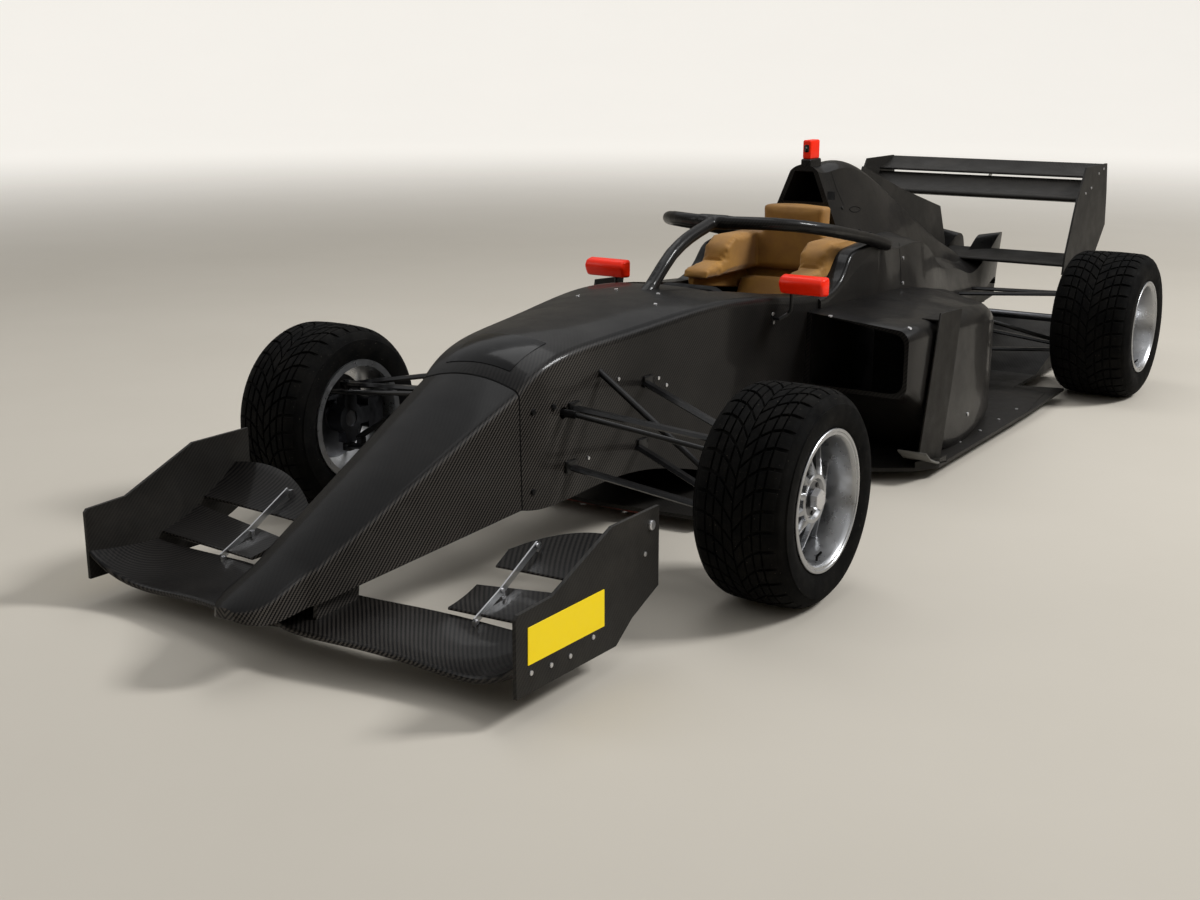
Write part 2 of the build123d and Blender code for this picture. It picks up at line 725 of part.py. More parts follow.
with BuildPart() as engine_cover:
    add(cover_shape.part)
    add(engine_bay.part, mode=Mode.SUBTRACT)
    loft(
        sections=[
            flat_outline(cross_plane(AIRBOX_FRONT - 10), AIRBOX_MOUTH),
            flat_outline(cross_plane(AIRBOX_FRONT + AIRBOX_DEPTH), AIRBOX_THROAT),
        ],
        ruled=True,
        mode=Mode.SUBTRACT,
    )
    block((-300, AIRBOX_FRONT - 10, 500), (300, BULKHEAD, 600), mode=Mode.SUBTRACT)
    cylinder(cross_plane(3000), (0, TAILPIPE_Z), TAILPIPE_RADIUS + COVER_GAP, -600, Mode.SUBTRACT)
    cylinder(
        side_plane(-OUTPUT_HALF - COVER_GAP),
        (WHEELBASE, REAR_TYRE_RADIUS),
        OUTPUT_RADIUS + COVER_GAP,
        2 * (OUTPUT_HALF + COVER_GAP),
        Mode.SUBTRACT,
    )
    add(beam_wing.part, mode=Mode.SUBTRACT)
    for arm in rear_arms.values():
        add(arm, mode=Mode.SUBTRACT)
engine_cover.part.label = "engine_cover"
export_step(engine_cover.part, "parts/engine_cover.step")

with BuildPart() as shark_fin:
    fin = flat_outline(
        side_plane(-FIN_THICKNESS / 2),
        [(2120, 880), (2152, 931), (2530, 822), (2981, 714), (3059, 560), (3059, 480), (2600, 600)],
    )
    extrude(fin, amount=FIN_THICKNESS)
    add(cover_shape.part, mode=Mode.SUBTRACT)
shark_fin.part.label = "shark_fin"
export_step(shark_fin.part, "parts/shark_fin.step")

with BuildPart() as camera_housing:
    with BuildSketch(level_plane(950)) as camera_foot:
        with Locations((0, 1700)):
            RectangleRounded(34, 70, 12)
    extrude(camera_foot.sketch, amount=34)
    with BuildSketch(level_plane(978)) as camera_box:
        with Locations((0, 1695)):
            RectangleRounded(66, 84, 14)
    extrude(camera_box.sketch, amount=74)
    fillet(camera_housing.faces().sort_by(Axis.Z)[-1].edges(), 8)
    with BuildSketch(cross_plane(1695 - 42)) as lens:
        with Locations((0, 1018)):
            Circle(19)
    extrude(lens.sketch, amount=-4, mode=Mode.SUBTRACT)
    add(cover_shape.part, mode=Mode.SUBTRACT)
camera_housing.part.label = "camera_housing"
export_step(camera_housing.part, "parts/camera_housing.step")

# Sidepods: hollow, open at the intake, with a radiator inside
# columns: behind the axle, inner side of the duct, outer side, bottom, inner height, outer height, edge
POD_SECTIONS = [
    (1110, 288, 638, 292, 553, 508, 40),
    (1300, 292, 650, 150, 552, 512, 50),
    (1490, 294, 648, 30, 548, 506, 60),
    (1800, 250, 640, 30, 538, 492, 66),
    (2050, 225, 586, 30, 522, 456, 66),
    (2300, 210, 488, 30, 490, 412, 60),
    (POD_END, 205, 376, 30, 425, 348, 46),
]
POD_ROOT = 150
POD_WALL = 14
sidepods = {}
for pod_name, side in (("sidepod_left", 1), ("sidepod_right", -1)):
    with BuildPart() as sidepod:
        loft(sections=[pod_section(side, row[0], POD_ROOT, *row[2:]) for row in POD_SECTIONS])
        block((-800, 1000, -100), (800, 3000, FLOOR_TOP), mode=Mode.SUBTRACT)
        loft(
            sections=[
                pod_section(side, *row[:3], max(row[3], FLOOR_TOP), *row[4:], inset=POD_WALL) for row in POD_SECTIONS
            ],
            mode=Mode.SUBTRACT,
        )
        block((-ENGINE_BAY, BULKHEAD, 0), (ENGINE_BAY, 3000, 800), mode=Mode.SUBTRACT)
        add(tub_shape.part, mode=Mode.SUBTRACT)
        add(cover_shape.part, mode=Mode.SUBTRACT)
        add(cockpit_sides.part, mode=Mode.SUBTRACT)
        for arm in rear_arms.values():
            add(arm, mode=Mode.SUBTRACT)
    sidepod.part.label = pod_name
    export_step(sidepod.part, f"parts/{pod_name}.step")
    sidepods[pod_name] = sidepod.part

with BuildPart() as radiators:
    core = flat_outline(level_plane(FLOOR_TOP + POD_WALL), [(330, 1560), (560, 1500), (576, 1552), (346, 1612)])
    extrude(core, amount=RADIATOR_HEIGHT)
    mirror(about=Plane.YZ)
radiators.part.label = "radiators"
export_step(radiators.part, "parts/radiators.step")

# Vanes that stand on the floor's edge and reach in to the sidepod's top
VANE_THICKNESS = 6
with BuildPart() as floor_vanes:
    vane = flat_outline(side_plane(VANE_X), [(1372, FLOOR_TOP), (1470, FLOOR_TOP), (1490, 536), (1300, 546)])
    extrude(vane, amount=VANE_THICKNESS)
    block((600, 1330, 512), (VANE_X, 1450, 518))
    mirror(about=Plane.YZ)
    for pod in sidepods.values():
        add(pod, mode=Mode.SUBTRACT)
floor_vanes.part.label = "floor_vanes"
export_step(floor_vanes.part, "parts/floor_vanes.step")

# Halo: a pointed ring on a front pillar, its legs standing on the shoulders
HALO_TILT = 8.3
HALO_TUBE_RADIUS = 27
HALO_HALF = 296
HALO_APEX = 728
HALO_CORNER = 1360
HALO_REAR = 1600
HALO_APEX_Z = 862
with BuildPart() as halo:
    halo_plane = Plane(origin=place(0, HALO_APEX, HALO_APEX_Z), x_dir=(1, 0, 0), z_dir=(0, 0, 1)).rotated(
        (-HALO_TILT, 0, 0)
    )
    with BuildLine(halo_plane) as ring:
        FilletPolyline(
            (-HALO_HALF, HALO_REAR - HALO_APEX),
            (-HALO_HALF, HALO_CORNER - HALO_APEX),
            (0, 0),
            (HALO_HALF, HALO_CORNER - HALO_APEX),
            (HALO_HALF, HALO_REAR - HALO_APEX),
            radius=[700, 85, 700],
        )
    ring_start = ring.line @ 0
    with BuildSketch(Plane(origin=ring_start, x_dir=(1, 0, 0), z_dir=ring.line % 0)) as tube:
        Circle(HALO_TUBE_RADIUS)
    sweep(tube.sketch, path=ring.line)
    pillar_foot = place(0, 606, 630)
    pillar_top = place(0, 842, 838)
    blade(pillar_foot, pillar_top, 70, 40)
    with BuildSketch(level_plane(640)) as foot:
        with Locations((0, 604)):
            Ellipse(30, 62)
    extrude(foot.sketch, amount=18)
    for leg_side in (1, -1):
        with BuildSketch(level_plane(690)) as leg:
            with Locations((leg_side * (HALO_HALF - 22), HALO_REAR - 50)):
                RectangleRounded(40, 110, 14)
        extrude(leg.sketch, amount=44)
    add(tub_shape.part, mode=Mode.SUBTRACT)
    add(cockpit_sides.part, mode=Mode.SUBTRACT)
halo.part.label = "halo"
export_step(halo.part, "parts/halo.step")

# Mirrors on bent stalks
MIRROR_X = 361
MIRROR_BEHIND = 915
MIRROR_Z = 657
with BuildPart() as mirrors:
    with BuildSketch(cross_plane(MIRROR_BEHIND + 30)) as mirror_face:
        with Locations((MIRROR_X, MIRROR_Z)):
            RectangleRounded(187, 70, 18)
    extrude(mirror_face.sketch, amount=60, taper=6)
    with BuildLine() as stalk_line:
        FilletPolyline(
            place(MIRROR_X - 8, MIRROR_BEHIND, MIRROR_Z - 30),
            place(MIRROR_X - 8, MIRROR_BEHIND, 560),
            place(270, MIRROR_BEHIND - 40, 548),
            radius=24,
        )
    with BuildSketch(Plane(origin=stalk_line.line @ 0, z_dir=stalk_line.line % 0)) as stalk_profile:
        Circle(6)
    sweep(stalk_profile.sketch, path=stalk_line.line)
    mirror(about=Plane.YZ)
    add(tub_shape.part, mode=Mode.SUBTRACT)
mirrors.part.label = "mirrors"
export_step(mirrors.part, "parts/mirrors.step")

# Front suspension arms, fixed to the tub and ending in eyes around the kingpins
# columns: name, height at the wheel, then the inner ends as X, behind the axle, height
FRONT_ARMS = [
    ("front_upper_wishbones", UPPER_BALL_Z, [(165, -80, 441), (190, 246, 458)]),
    ("front_lower_wishbones", LOWER_BALL_Z, [(160, -96, 284), (170, 230, 278)]),
]
front_arms = {}
for arm_name, ball_z, pickups in FRONT_ARMS:
    with BuildPart() as front_wishbones:
        for pickup in pickups:
            blade(place(*pickup), place(KINGPIN_X, 0, ball_z), WISHBONE_CHORD, WISHBONE_DEPTH)
        cylinder(level_plane(ball_z - EYE_HEIGHT / 2), (KINGPIN_X, 0), EYE_RADIUS, EYE_HEIGHT)
        cylinder(level_plane(ball_z - 60), (KINGPIN_X, 0), KINGPIN_RADIUS + BEARING_CLEARANCE, 120, Mode.SUBTRACT)
        add(tub_shape.part, mode=Mode.SUBTRACT)
        mirror(about=Plane.YZ)
    front_wishbones.part.label = arm_name
    export_step(front_wishbones.part, f"parts/{arm_name}.step")
    front_arms[arm_name] = front_wishbones.part

with BuildPart() as front_pushrods:
    bar(place(180, 34, 527), place(662, 2, 222), PUSHROD_RADIUS)
    block((640, -8, 200), (660, 12, 226))
    add(tub_shape.part, mode=Mode.SUBTRACT)
    for arm in front_arms.values():
        add(arm, mode=Mode.SUBTRACT)
    mirror(about=Plane.YZ)
front_pushrods.part.label = "front_pushrods"
export_step(front_pushrods.part, "parts/front_pushrods.step")

# Rack bar with its track rods: slides across the car
ROD_EYE_BORE = STEERING_PIN_RADIUS + ROD_EYE_PLAY
with BuildPart() as track_rods:
    bar(place(-RACK_REACH, RACK_BEHIND, RACK_Z), place(RACK_REACH, RACK_BEHIND, RACK_Z), RACK_RADIUS)
    bar(
        place(RACK_REACH - 6, RACK_BEHIND, RACK_Z),
        place(KINGPIN_X, -STEERING_ARM, STEERING_PIN_Z),
        TRACK_ROD_RADIUS,
    )
    cylinder(level_plane(STEERING_PIN_Z - 6), (KINGPIN_X, -STEERING_ARM), ROD_EYE_BORE + 5, 12)
    cylinder(level_plane(STEERING_PIN_Z - 30), (KINGPIN_X, -STEERING_ARM), ROD_EYE_BORE, 60, Mode.SUBTRACT)
    mirror(about=Plane.YZ)
track_rods.part.label = "track_rods"
export_step(track_rods.part, "parts/track_rods.step")

# Steering wheel: a rounded rectangle with two grips, on a column through the dash
with BuildPart() as steering_wheel:
    wheel_face = Plane(origin=STEERING_CENTRE, x_dir=(1, 0, 0), z_dir=COLUMN_AXIS)
    with BuildSketch(wheel_face) as rim_shape:
        RectangleRounded(250, 150, 48)
        with Locations((86, 4), (-86, 4)):
            RectangleRounded(34, 86, 15, mode=Mode.SUBTRACT)
    extrude(rim_shape.sketch, amount=30)
    with BuildSketch(wheel_face) as column:
        Circle(COLUMN_RADIUS)
    extrude(column.sketch, amount=-250)
    fillet(steering_wheel.faces().sort_by(Axis.Y)[-1].edges(), 6)
steering_wheel.part.label = "steering_wheel"
export_step(steering_wheel.part, "parts/steering_wheel.step")

# Front uprights with steering arm, brake caliper and kingpins, one on each side
for upright_name, side in (("front_upright_left", 1), ("front_upright_right", -1)):
    with BuildPart() as front_upright:
        low = LOWER_BALL_Z + EYE_HEIGHT / 2 + EYE_GAP
        high = UPPER_BALL_Z - EYE_HEIGHT / 2 - EYE_GAP
        block((UPRIGHT_INNER, -26, low), (UPRIGHT_OUTER, 26, high))
        cylinder(side_plane(UPRIGHT_INNER), (0, FRONT_TYRE_RADIUS), UPRIGHT_BOSS, BOSS_LENGTH)
        arm = flat_outline(
            level_plane(STEERING_PIN_Z - 24),
            [
                (KINGPIN_X - 12, -14),
                (KINGPIN_X - 9, -STEERING_ARM - 9),
                (KINGPIN_X + 9, -STEERING_ARM - 9),
                (KINGPIN_X + 12, -14),
            ],
        )
        extrude(arm, amount=12)
        cylinder(level_plane(STEERING_PIN_Z - 14), (KINGPIN_X, -STEERING_ARM), STEERING_PIN_RADIUS, 24)
        block((UPRIGHT_INNER, 20, 255), (UPRIGHT_OUTER, 100, 305))
        with BuildSketch(side_plane(UPRIGHT_INNER)) as caliper:
            with Locations((CALIPER_BEHIND, FRONT_TYRE_RADIUS)):
                RectangleRounded(66, 96, 12)
        extrude(caliper.sketch, amount=CALIPER_LENGTH)
        cylinder(
            side_plane(DISC_SLOT),
            (0, FRONT_TYRE_RADIUS),
            DISC_RADIUS + DISC_SLOT_CLEARANCE,
            DISC_THICKNESS + 2 * DISC_SLOT_CLEARANCE,
            Mode.SUBTRACT,
        )
        cylinder(side_plane(600), (0, FRONT_TYRE_RADIUS), STUB_RADIUS + BEARING_CLEARANCE, 200, Mode.SUBTRACT)
        for pin_low, pin_high in ((LOWER_BALL_Z - 14, low), (high, UPPER_BALL_Z + 14)):
            cylinder(level_plane(pin_low), (KINGPIN_X, 0), KINGPIN_RADIUS, pin_high - pin_low)
        if side < 0:
            mirror(about=Plane.YZ, mode=Mode.REPLACE)
    front_upright.part.label = upright_name
    export_step(front_upright.part, f"parts/{upright_name}.step")

# Wheels: tyre, rim and hub with its brake disc, and the drive shaft at the rear
# columns: name, side, behind the axle, radius, width, outer face of the tyre from the centre
CORNERS = [
    ("front", "left", 1, 0, FRONT_TYRE_RADIUS, FRONT_TYRE_WIDTH, FRONT_WIDTH / 2),
    ("front", "right", -1, 0, FRONT_TYRE_RADIUS, FRONT_TYRE_WIDTH, FRONT_WIDTH / 2),
    ("rear", "left", 1, WHEELBASE, REAR_TYRE_RADIUS, REAR_TYRE_WIDTH, OVERALL_WIDTH / 2),
    ("rear", "right", -1, WHEELBASE, REAR_TYRE_RADIUS, REAR_TYRE_WIDTH, OVERALL_WIDTH / 2),
]
for axle, hand, side, distance, radius, width, outer in CORNERS:
    centre = place(side * (outer - width / 2), distance, radius)
    spin_axis = Axis(centre, (side, 0, 0))
    profile_plane = Plane(origin=centre, x_dir=(side, 0, 0), z_dir=(0, -side, 0))
    half = width / 2
    rim_half = half - RIM_INSET
    bead = rim_half - FLANGE_THICKNESS
    wall_low = (FLANGE_RADIUS + radius) / 2 - 6
    wall_high = wall_low + 14
    with BuildPart() as tyre:
        with BuildSketch(profile_plane) as carcass:
            with BuildLine():
                Polyline((bead, BEAD_RADIUS), (bead, FLANGE_RADIUS + 1))
                TangentArc((half, wall_low), (bead, FLANGE_RADIUS + 1), tangent=(0, -1))
                Line((half, wall_low), (half, wall_high))
                TangentArc((half, wall_high), (half - 20, radius - 16), tangent=(0, 1))
                ThreePointArc((half - 20, radius - 16), (half - 32, radius - 7), (half - 48, radius - 3))
                ThreePointArc((half - 48, radius - 3), (0, radius), (-half + 48, radius - 3))
                ThreePointArc((-half + 48, radius - 3), (-half + 32, radius - 7), (-half + 20, radius - 16))
                TangentArc((-half, wall_high), (-half + 20, radius - 16), tangent=(0, 1))
                Line((-half, wall_low), (-half, wall_high))
                TangentArc((-half, wall_low), (-bead, FLANGE_RADIUS + 1), tangent=(0, -1))
                Polyline(
                    (-bead, FLANGE_RADIUS + 1),
                    (-bead, BEAD_RADIUS),
                    (-bead + CARCASS, BEAD_RADIUS),
                    (-bead + CARCASS, BEAD_RADIUS + 14),
                    (-half + CARCASS, (BEAD_RADIUS + radius) / 2 + 6),
                    (-half + 44, radius - 20),
                    (half - 44, radius - 20),
                    (half - CARCASS, (BEAD_RADIUS + radius) / 2 + 6),
                    (bead - CARCASS, BEAD_RADIUS + 14),
                    (bead - CARCASS, BEAD_RADIUS),
                    (bead, BEAD_RADIUS),
                )
            make_face()
        revolve(carcass.sketch, axis=spin_axis)
    tyre.part.label = f"{axle}_tyre_{hand}"
    export_step(tyre.part, f"parts/{axle}_tyre_{hand}.step")

    dish = REAR_DISH if axle == "rear" else 0
    hub_face = rim_half - HUB_FACE_DEPTH - dish
    spoke_end = rim_half - SPOKE_DEPTH - dish
    barrel_inner = BEAD_RADIUS - BARREL_WALL
    with BuildPart() as spokes:
        with BuildSketch(profile_plane) as cone:
            with BuildLine():
                Polyline(
                    (hub_face, HUB_HOLE),
                    (hub_face, HUB_DISC_RADIUS),
                    (spoke_end, barrel_inner + 2),
                    (spoke_end - SPOKE_THICKNESS, barrel_inner + 2),
                    (hub_face - SPOKE_THICKNESS, HUB_DISC_RADIUS),
                    (hub_face - SPOKE_THICKNESS, HUB_HOLE),
                    close=True,
                )
            make_face()
        revolve(cone.sketch, axis=spin_axis)
        with BuildSketch(Plane(origin=centre, x_dir=(0, 1, 0), z_dir=(side, 0, 0))) as spoke_pattern:
            Circle(HUB_DISC_RADIUS)
            with PolarLocations(0, SPOKE_PAIRS):
                for lean in (1, -1):
                    Polygon(
                        (HUB_DISC_RADIUS - 8, lean * 4),
                        (barrel_inner + 4, lean * 30),
                        (barrel_inner + 2, lean * 44),
                        (HUB_DISC_RADIUS - 8, lean * 20),
                        align=None,
                    )
        extrude(spoke_pattern.sketch, amount=half, mode=Mode.INTERSECT)
    with BuildPart() as rim:
        with BuildSketch(profile_plane) as barrel:
            with BuildLine():
                Polyline(
                    (rim_half, FLANGE_RADIUS),
                    (bead, FLANGE_RADIUS),
                    (bead, BEAD_RADIUS),
                    (-bead, BEAD_RADIUS),
                    (-bead, FLANGE_RADIUS),
                    (-rim_half, FLANGE_RADIUS),
                    (-rim_half, barrel_inner),
                    (rim_half, barrel_inner),
                    close=True,
                )
            make_face()
        revolve(barrel.sketch, axis=spin_axis)
        add(spokes.part)
    rim.part.label = f"{axle}_rim_{hand}"
    export_step(rim.part, f"parts/{axle}_rim_{hand}.step")

    with BuildPart() as hub:
        hub_plane = Plane(origin=(0, centre[1], radius), x_dir=(0, 1, 0), z_dir=(side, 0, 0))
        flange_end = outer - width / 2 + hub_face - SPOKE_THICKNESS
        stub_start = DRIVE_STUB_START if axle == "rear" else UPRIGHT_INNER + 4
        cylinder(hub_plane.offset(stub_start), (0, 0), STUB_RADIUS, flange_end - stub_start)
        if axle == "rear":
            cylinder(hub_plane.offset(DRIVE_INNER), (0, 0), SHAFT_RADIUS, stub_start - DRIVE_INNER)
            for boot_start in (DRIVE_INNER, DRIVE_STUB_START - BOOT_LENGTH):
                cylinder(hub_plane.offset(boot_start), (0, 0), BOOT_RADIUS, BOOT_LENGTH)
        cylinder(hub_plane.offset(DISC_SLOT + DISC_SLOT_CLEARANCE), (0, 0), DISC_RADIUS, DISC_THICKNESS)
        cylinder(hub_plane.offset(DISC_SLOT), (0, 0), HUB_DISC_RADIUS, flange_end - DISC_SLOT)
        cylinder(hub_plane.offset(flange_end), (0, 0), HUB_HOLE, SPOKE_THICKNESS + 10)
    hub.part.label = f"{axle}_hub_{hand}"
    export_step(hub.part, f"parts/{axle}_hub_{hand}.step")
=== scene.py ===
import json
import math

import bmesh
import bpy
from mathutils import Matrix, Vector


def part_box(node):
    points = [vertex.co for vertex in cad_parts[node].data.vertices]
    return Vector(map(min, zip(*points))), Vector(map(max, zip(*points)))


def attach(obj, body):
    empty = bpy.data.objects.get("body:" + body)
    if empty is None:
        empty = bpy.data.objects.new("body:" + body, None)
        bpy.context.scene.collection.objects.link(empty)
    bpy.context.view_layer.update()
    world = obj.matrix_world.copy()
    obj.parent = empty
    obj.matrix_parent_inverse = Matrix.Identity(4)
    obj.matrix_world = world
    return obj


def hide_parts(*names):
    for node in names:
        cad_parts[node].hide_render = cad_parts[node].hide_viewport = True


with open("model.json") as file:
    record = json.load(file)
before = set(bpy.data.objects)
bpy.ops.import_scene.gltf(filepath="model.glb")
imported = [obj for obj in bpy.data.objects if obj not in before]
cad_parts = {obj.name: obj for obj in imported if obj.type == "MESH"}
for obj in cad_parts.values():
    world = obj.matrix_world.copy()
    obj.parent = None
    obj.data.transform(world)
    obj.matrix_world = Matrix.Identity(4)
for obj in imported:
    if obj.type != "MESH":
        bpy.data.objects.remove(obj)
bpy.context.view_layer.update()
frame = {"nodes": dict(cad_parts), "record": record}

bl_info = {
    "name": "Open wheel racing car",
    "version": (1, 0, 0),
    "blender": (4, 5, 0),
    "location": "3D View > Sidebar > Racing car",
    "description": "Dresses the packed open wheel racing car and sets the stage for it",
    "category": "Object",
}

NODES = frame["nodes"]
# the axles' places along Y in the shared frame, in metres
FRONT_AXLE = -1.2725
REAR_AXLE = 1.6275
SIDES = {"left": 1, "right": -1}
# the X axis, round which the wheels turn, and the point that every spin turns about
ACROSS = (1, 0, 0)
ORIGIN = (0, 0, 0)


class CarFinish(bpy.types.PropertyGroup):
    """Colours and pattern sizes of the car's surfaces."""

    tow: bpy.props.FloatProperty(
        name="Tow width", description="Width of one carbon tow in the twill", default=0.0034, unit="LENGTH"
    )
    carbon: bpy.props.StringProperty(
        name="Carbon", description="Dark tow of the twill, sRGB hex", default="060607"
    )
    # painted sheen: the lighter tow of the twill stands in for the sheen of the tow that faces the light
    tow_painted_sheen: bpy.props.StringProperty(
        name="Light tow", description="Tow that faces the light, sRGB hex", default="4a4642"
    )
    plate: bpy.props.StringProperty(
        name="Plates", description="Flat satin plates, sRGB hex", default="141311"
    )
    mirror: bpy.props.StringProperty(
        name="Mirror paint", description="Orange red of mirrors and camera box, sRGB hex", default="fb2806"
    )
    foam: bpy.props.StringProperty(
        name="Foam cover", description="Tan cover of headrest and seat, sRGB hex", default="a8792f"
    )
    sticker: bpy.props.StringProperty(
        name="Blank plate", description="Yellow of the blank plates, sRGB hex", default="ffdf18"
    )
    rim: bpy.props.StringProperty(
        name="Rim metal", description="Silver of the rims, sRGB hex", default="a6a7a9"
    )


class CarTread(bpy.types.PropertyGroup):
    """Sizes of the rain tread."""

    depth: bpy.props.FloatProperty(
        name="Groove depth", description="Depth of the grooves", default=0.007, unit="LENGTH"
    )
    groove: bpy.props.FloatProperty(
        name="Groove width", description="Gap across the tread", default=0.0085, unit="LENGTH"
    )
    pitches: bpy.props.IntProperty(
        name="Pitches", description="Rows of blocks round the front tyre", default=34, subtype="UNSIGNED"
    )


class CarStage(bpy.types.PropertyGroup):
    """Camera and light of the stage."""

    lens: bpy.props.FloatProperty(
        name="Focal length", description="Lens on a 36 mm sensor", default=45.29, unit="CAMERA"
    )
    world: bpy.props.FloatProperty(
        name="Sky light", description="Strength of the plain world light", default=0.42, subtype="FACTOR"
    )
    floor: bpy.props.StringProperty(name="Floor", description="Pale floor, sRGB hex", default="c6c0b5")


def linear(hex_colour):
    """Turns an sRGB hex colour into the linear values that Blender uses."""
    values = [int(hex_colour[i : i + 2], 16) / 255 for i in (0, 2, 4)]
    return [v / 12.92 if v <= 0.04045 else ((v + 0.055) / 1.055) ** 2.4 for v in values] + [1.0]


MATH = "ShaderNodeMath"
MIX = "ShaderNodeMix"
RANGE = "ShaderNodeMapRange"
WAVE = "ShaderNodeTexWave"
COORDINATES = "ShaderNodeTexCoord"
SEPARATE = "ShaderNodeSeparateXYZ"


def add(tree, kind, inputs=None, output=0, **settings):
    """Adds a node with its settings, with a value or another output on each input, and gives one output."""
    made = tree.nodes.new(kind)
    for key, value in settings.items():
        setattr(made, key, value)
    for key, value in (inputs or {}).items():
        if isinstance(value, bpy.types.NodeSocket):
            tree.links.new(value, made.inputs[key])
        else:
            made.inputs[key].default_value = value
    return made.outputs[output] if made.outputs else None


def start_material(name):
    """A new material with only a Principled shader and an output."""
    material = bpy.data.materials.new(name)
    material.use_nodes = True
    tree = material.node_tree
    tree.nodes.clear()
    shader = tree.nodes.new("ShaderNodeBsdfPrincipled")
    add(tree, "ShaderNodeOutputMaterial", {"Surface": shader.outputs[0]})
    return material, tree, shader


def feed(tree, shader, fixed, **linked):
    """Links patterns to the shader and sets the numbers that are the same all over on its own sockets."""
    for name, value in linked.items():
        tree.links.new(value, shader.inputs[name.replace("_", " ").title()])
    for name, value in fixed.items():
        shader.inputs[name].default_value = value


def clouds(tree, scale, low, high, to_low=0.0, to_high=1.0, detail=4.0, stretch=(1, 1, 1), roughness=0.6):
    """Soft uneven patches on object coordinates, about 1/scale metres across, between two values."""
    place = add(tree, COORDINATES, output="Object")
    place = add(tree, "ShaderNodeMapping", {"Vector": place, "Scale": stretch})
    pattern = {"Vector": place, "Scale": scale, "Detail": detail, "Roughness": roughness}
    cells = add(tree, "ShaderNodeTexNoise", pattern)
    limits = {"Value": cells, "From Min": low, "From Max": high, "To Min": to_low, "To Max": to_high}
    return add(tree, RANGE, limits)


def patched(tree, base, colour, *cloud, **more):
    """Soft patches of a second colour over a first one."""
    share = clouds(tree, *cloud, **more)
    return add(tree, MIX, {0: share, 6: base, 7: linear(colour)}, 2, data_type="RGBA")


def coordinate(tree, axis):
    """One object coordinate: 0 is across the car, 1 along it and 2 its height."""
    return add(tree, SEPARATE, {0: add(tree, COORDINATES, output="Object")}, axis)


def bump(tree, shader, *layers):
    """Bump layers on the shader: each is a height, its strength and its real depth in metres."""
    normal = None
    for height, strength, depth in layers:
        inputs = {"Height": height, "Strength": strength, "Distance": depth}
        if normal:
            inputs["Normal"] = normal
        normal = add(tree, "ShaderNodeBump", inputs)
    tree.links.new(normal, shader.inputs["Normal"])


def twill(tree, tow):
    """Two by two twill laid over the shoulders like cloth: which tow is on top, and the tows' round backs."""
    side = add(tree, MATH, {0: coordinate(tree, 0)}, operation="ABSOLUTE")
    across = add(tree, MATH, {0: side, 1: coordinate(tree, 2)}, operation="SUBTRACT")
    u, v = [add(tree, MATH, {0: way, 1: tow}, operation="DIVIDE") for way in (coordinate(tree, 1), across)]
    columns, rows = [add(tree, MATH, {0: way}, operation="FLOOR") for way in (u, v)]
    step = add(tree, MATH, {0: columns, 1: rows}, operation="ADD")
    turn = add(tree, MATH, {0: step, 1: 4.0}, operation="FLOORED_MODULO")
    warp = add(tree, MATH, {0: turn, 1: 2.0}, operation="LESS_THAN")
    backs = []
    for way in (v, u):
        share = add(tree, MATH, {0: way}, operation="FRACT")
        half = add(tree, MATH, {0: share, 1: 0.5}, operation="SUBTRACT")
        square = add(tree, MATH, {0: half, 1: half}, operation="MULTIPLY")
        backs.append(add(tree, MATH, {0: square, 1: -4.0, 2: 1.0}, operation="MULTIPLY_ADD"))
    height = add(tree, MIX, {0: warp, 2: backs[1], 3: backs[0]}, data_type="FLOAT")
    return warp, height


def lacquered_carbon(name, finish, painted_sheen_on_top, dust, lacquer=0.22):
    """Woven carbon under clear lacquer: black, with the diagonal of the twill drawn as a painted sheen on the
    tow on top, strongest where light rakes a side.
    """
    material, tree, shader = start_material(name)
    warp, height = twill(tree, finish.tow)
    # painted sheen: the lighter tow shows fully on the sides and less on faces that look up, in patches
    up = add(tree, SEPARATE, {0: add(tree, "ShaderNodeNewGeometry", output="Normal")}, 2)
    limits = {"Value": up, "From Min": 0.35, "From Max": 0.8, "To Min": 1.0, "To Max": painted_sheen_on_top}
    facing = add(tree, RANGE, limits, interpolation_type="SMOOTHSTEP")
    # the painted sheen of the weave shows most on the nose and fades further back
    limits = {"Value": coordinate(tree, 1), "From Min": FRONT_AXLE, "From Max": FRONT_AXLE + 0.22}
    limits.update({"To Min": 1.0, "To Max": 0.28})
    light = warp
    for share in (facing, clouds(tree, 1.7, 0.35, 0.65, 0.35, 1.0, 3), add(tree, RANGE, limits)):
        light = add(tree, MATH, {0: light, 1: share}, operation="MULTIPLY")
    colours = {0: light, 6: linear(finish.carbon), 7: linear(finish.tow_painted_sheen)}
    base = add(tree, MIX, colours, 2, data_type="RGBA")
    base = patched(tree, base, "6d675e", 5.0, 0.4, 0.75, 0.0, dust, 6)
    rough = clouds(tree, 9.0, 0.3, 0.7, 0.3, 0.46, 5)
    fixed = {"Specular IOR Level": 0.08, "Coat Weight": lacquer, "Coat Roughness": 0.09}
    feed(tree, shader, fixed, base_color=base, roughness=rough)
    bump(tree, shader, (height, 0.22, 0.0004), (clouds(tree, 7.0, 0.0, 1.0, detail=1), 0.12, 0.004))
    return material


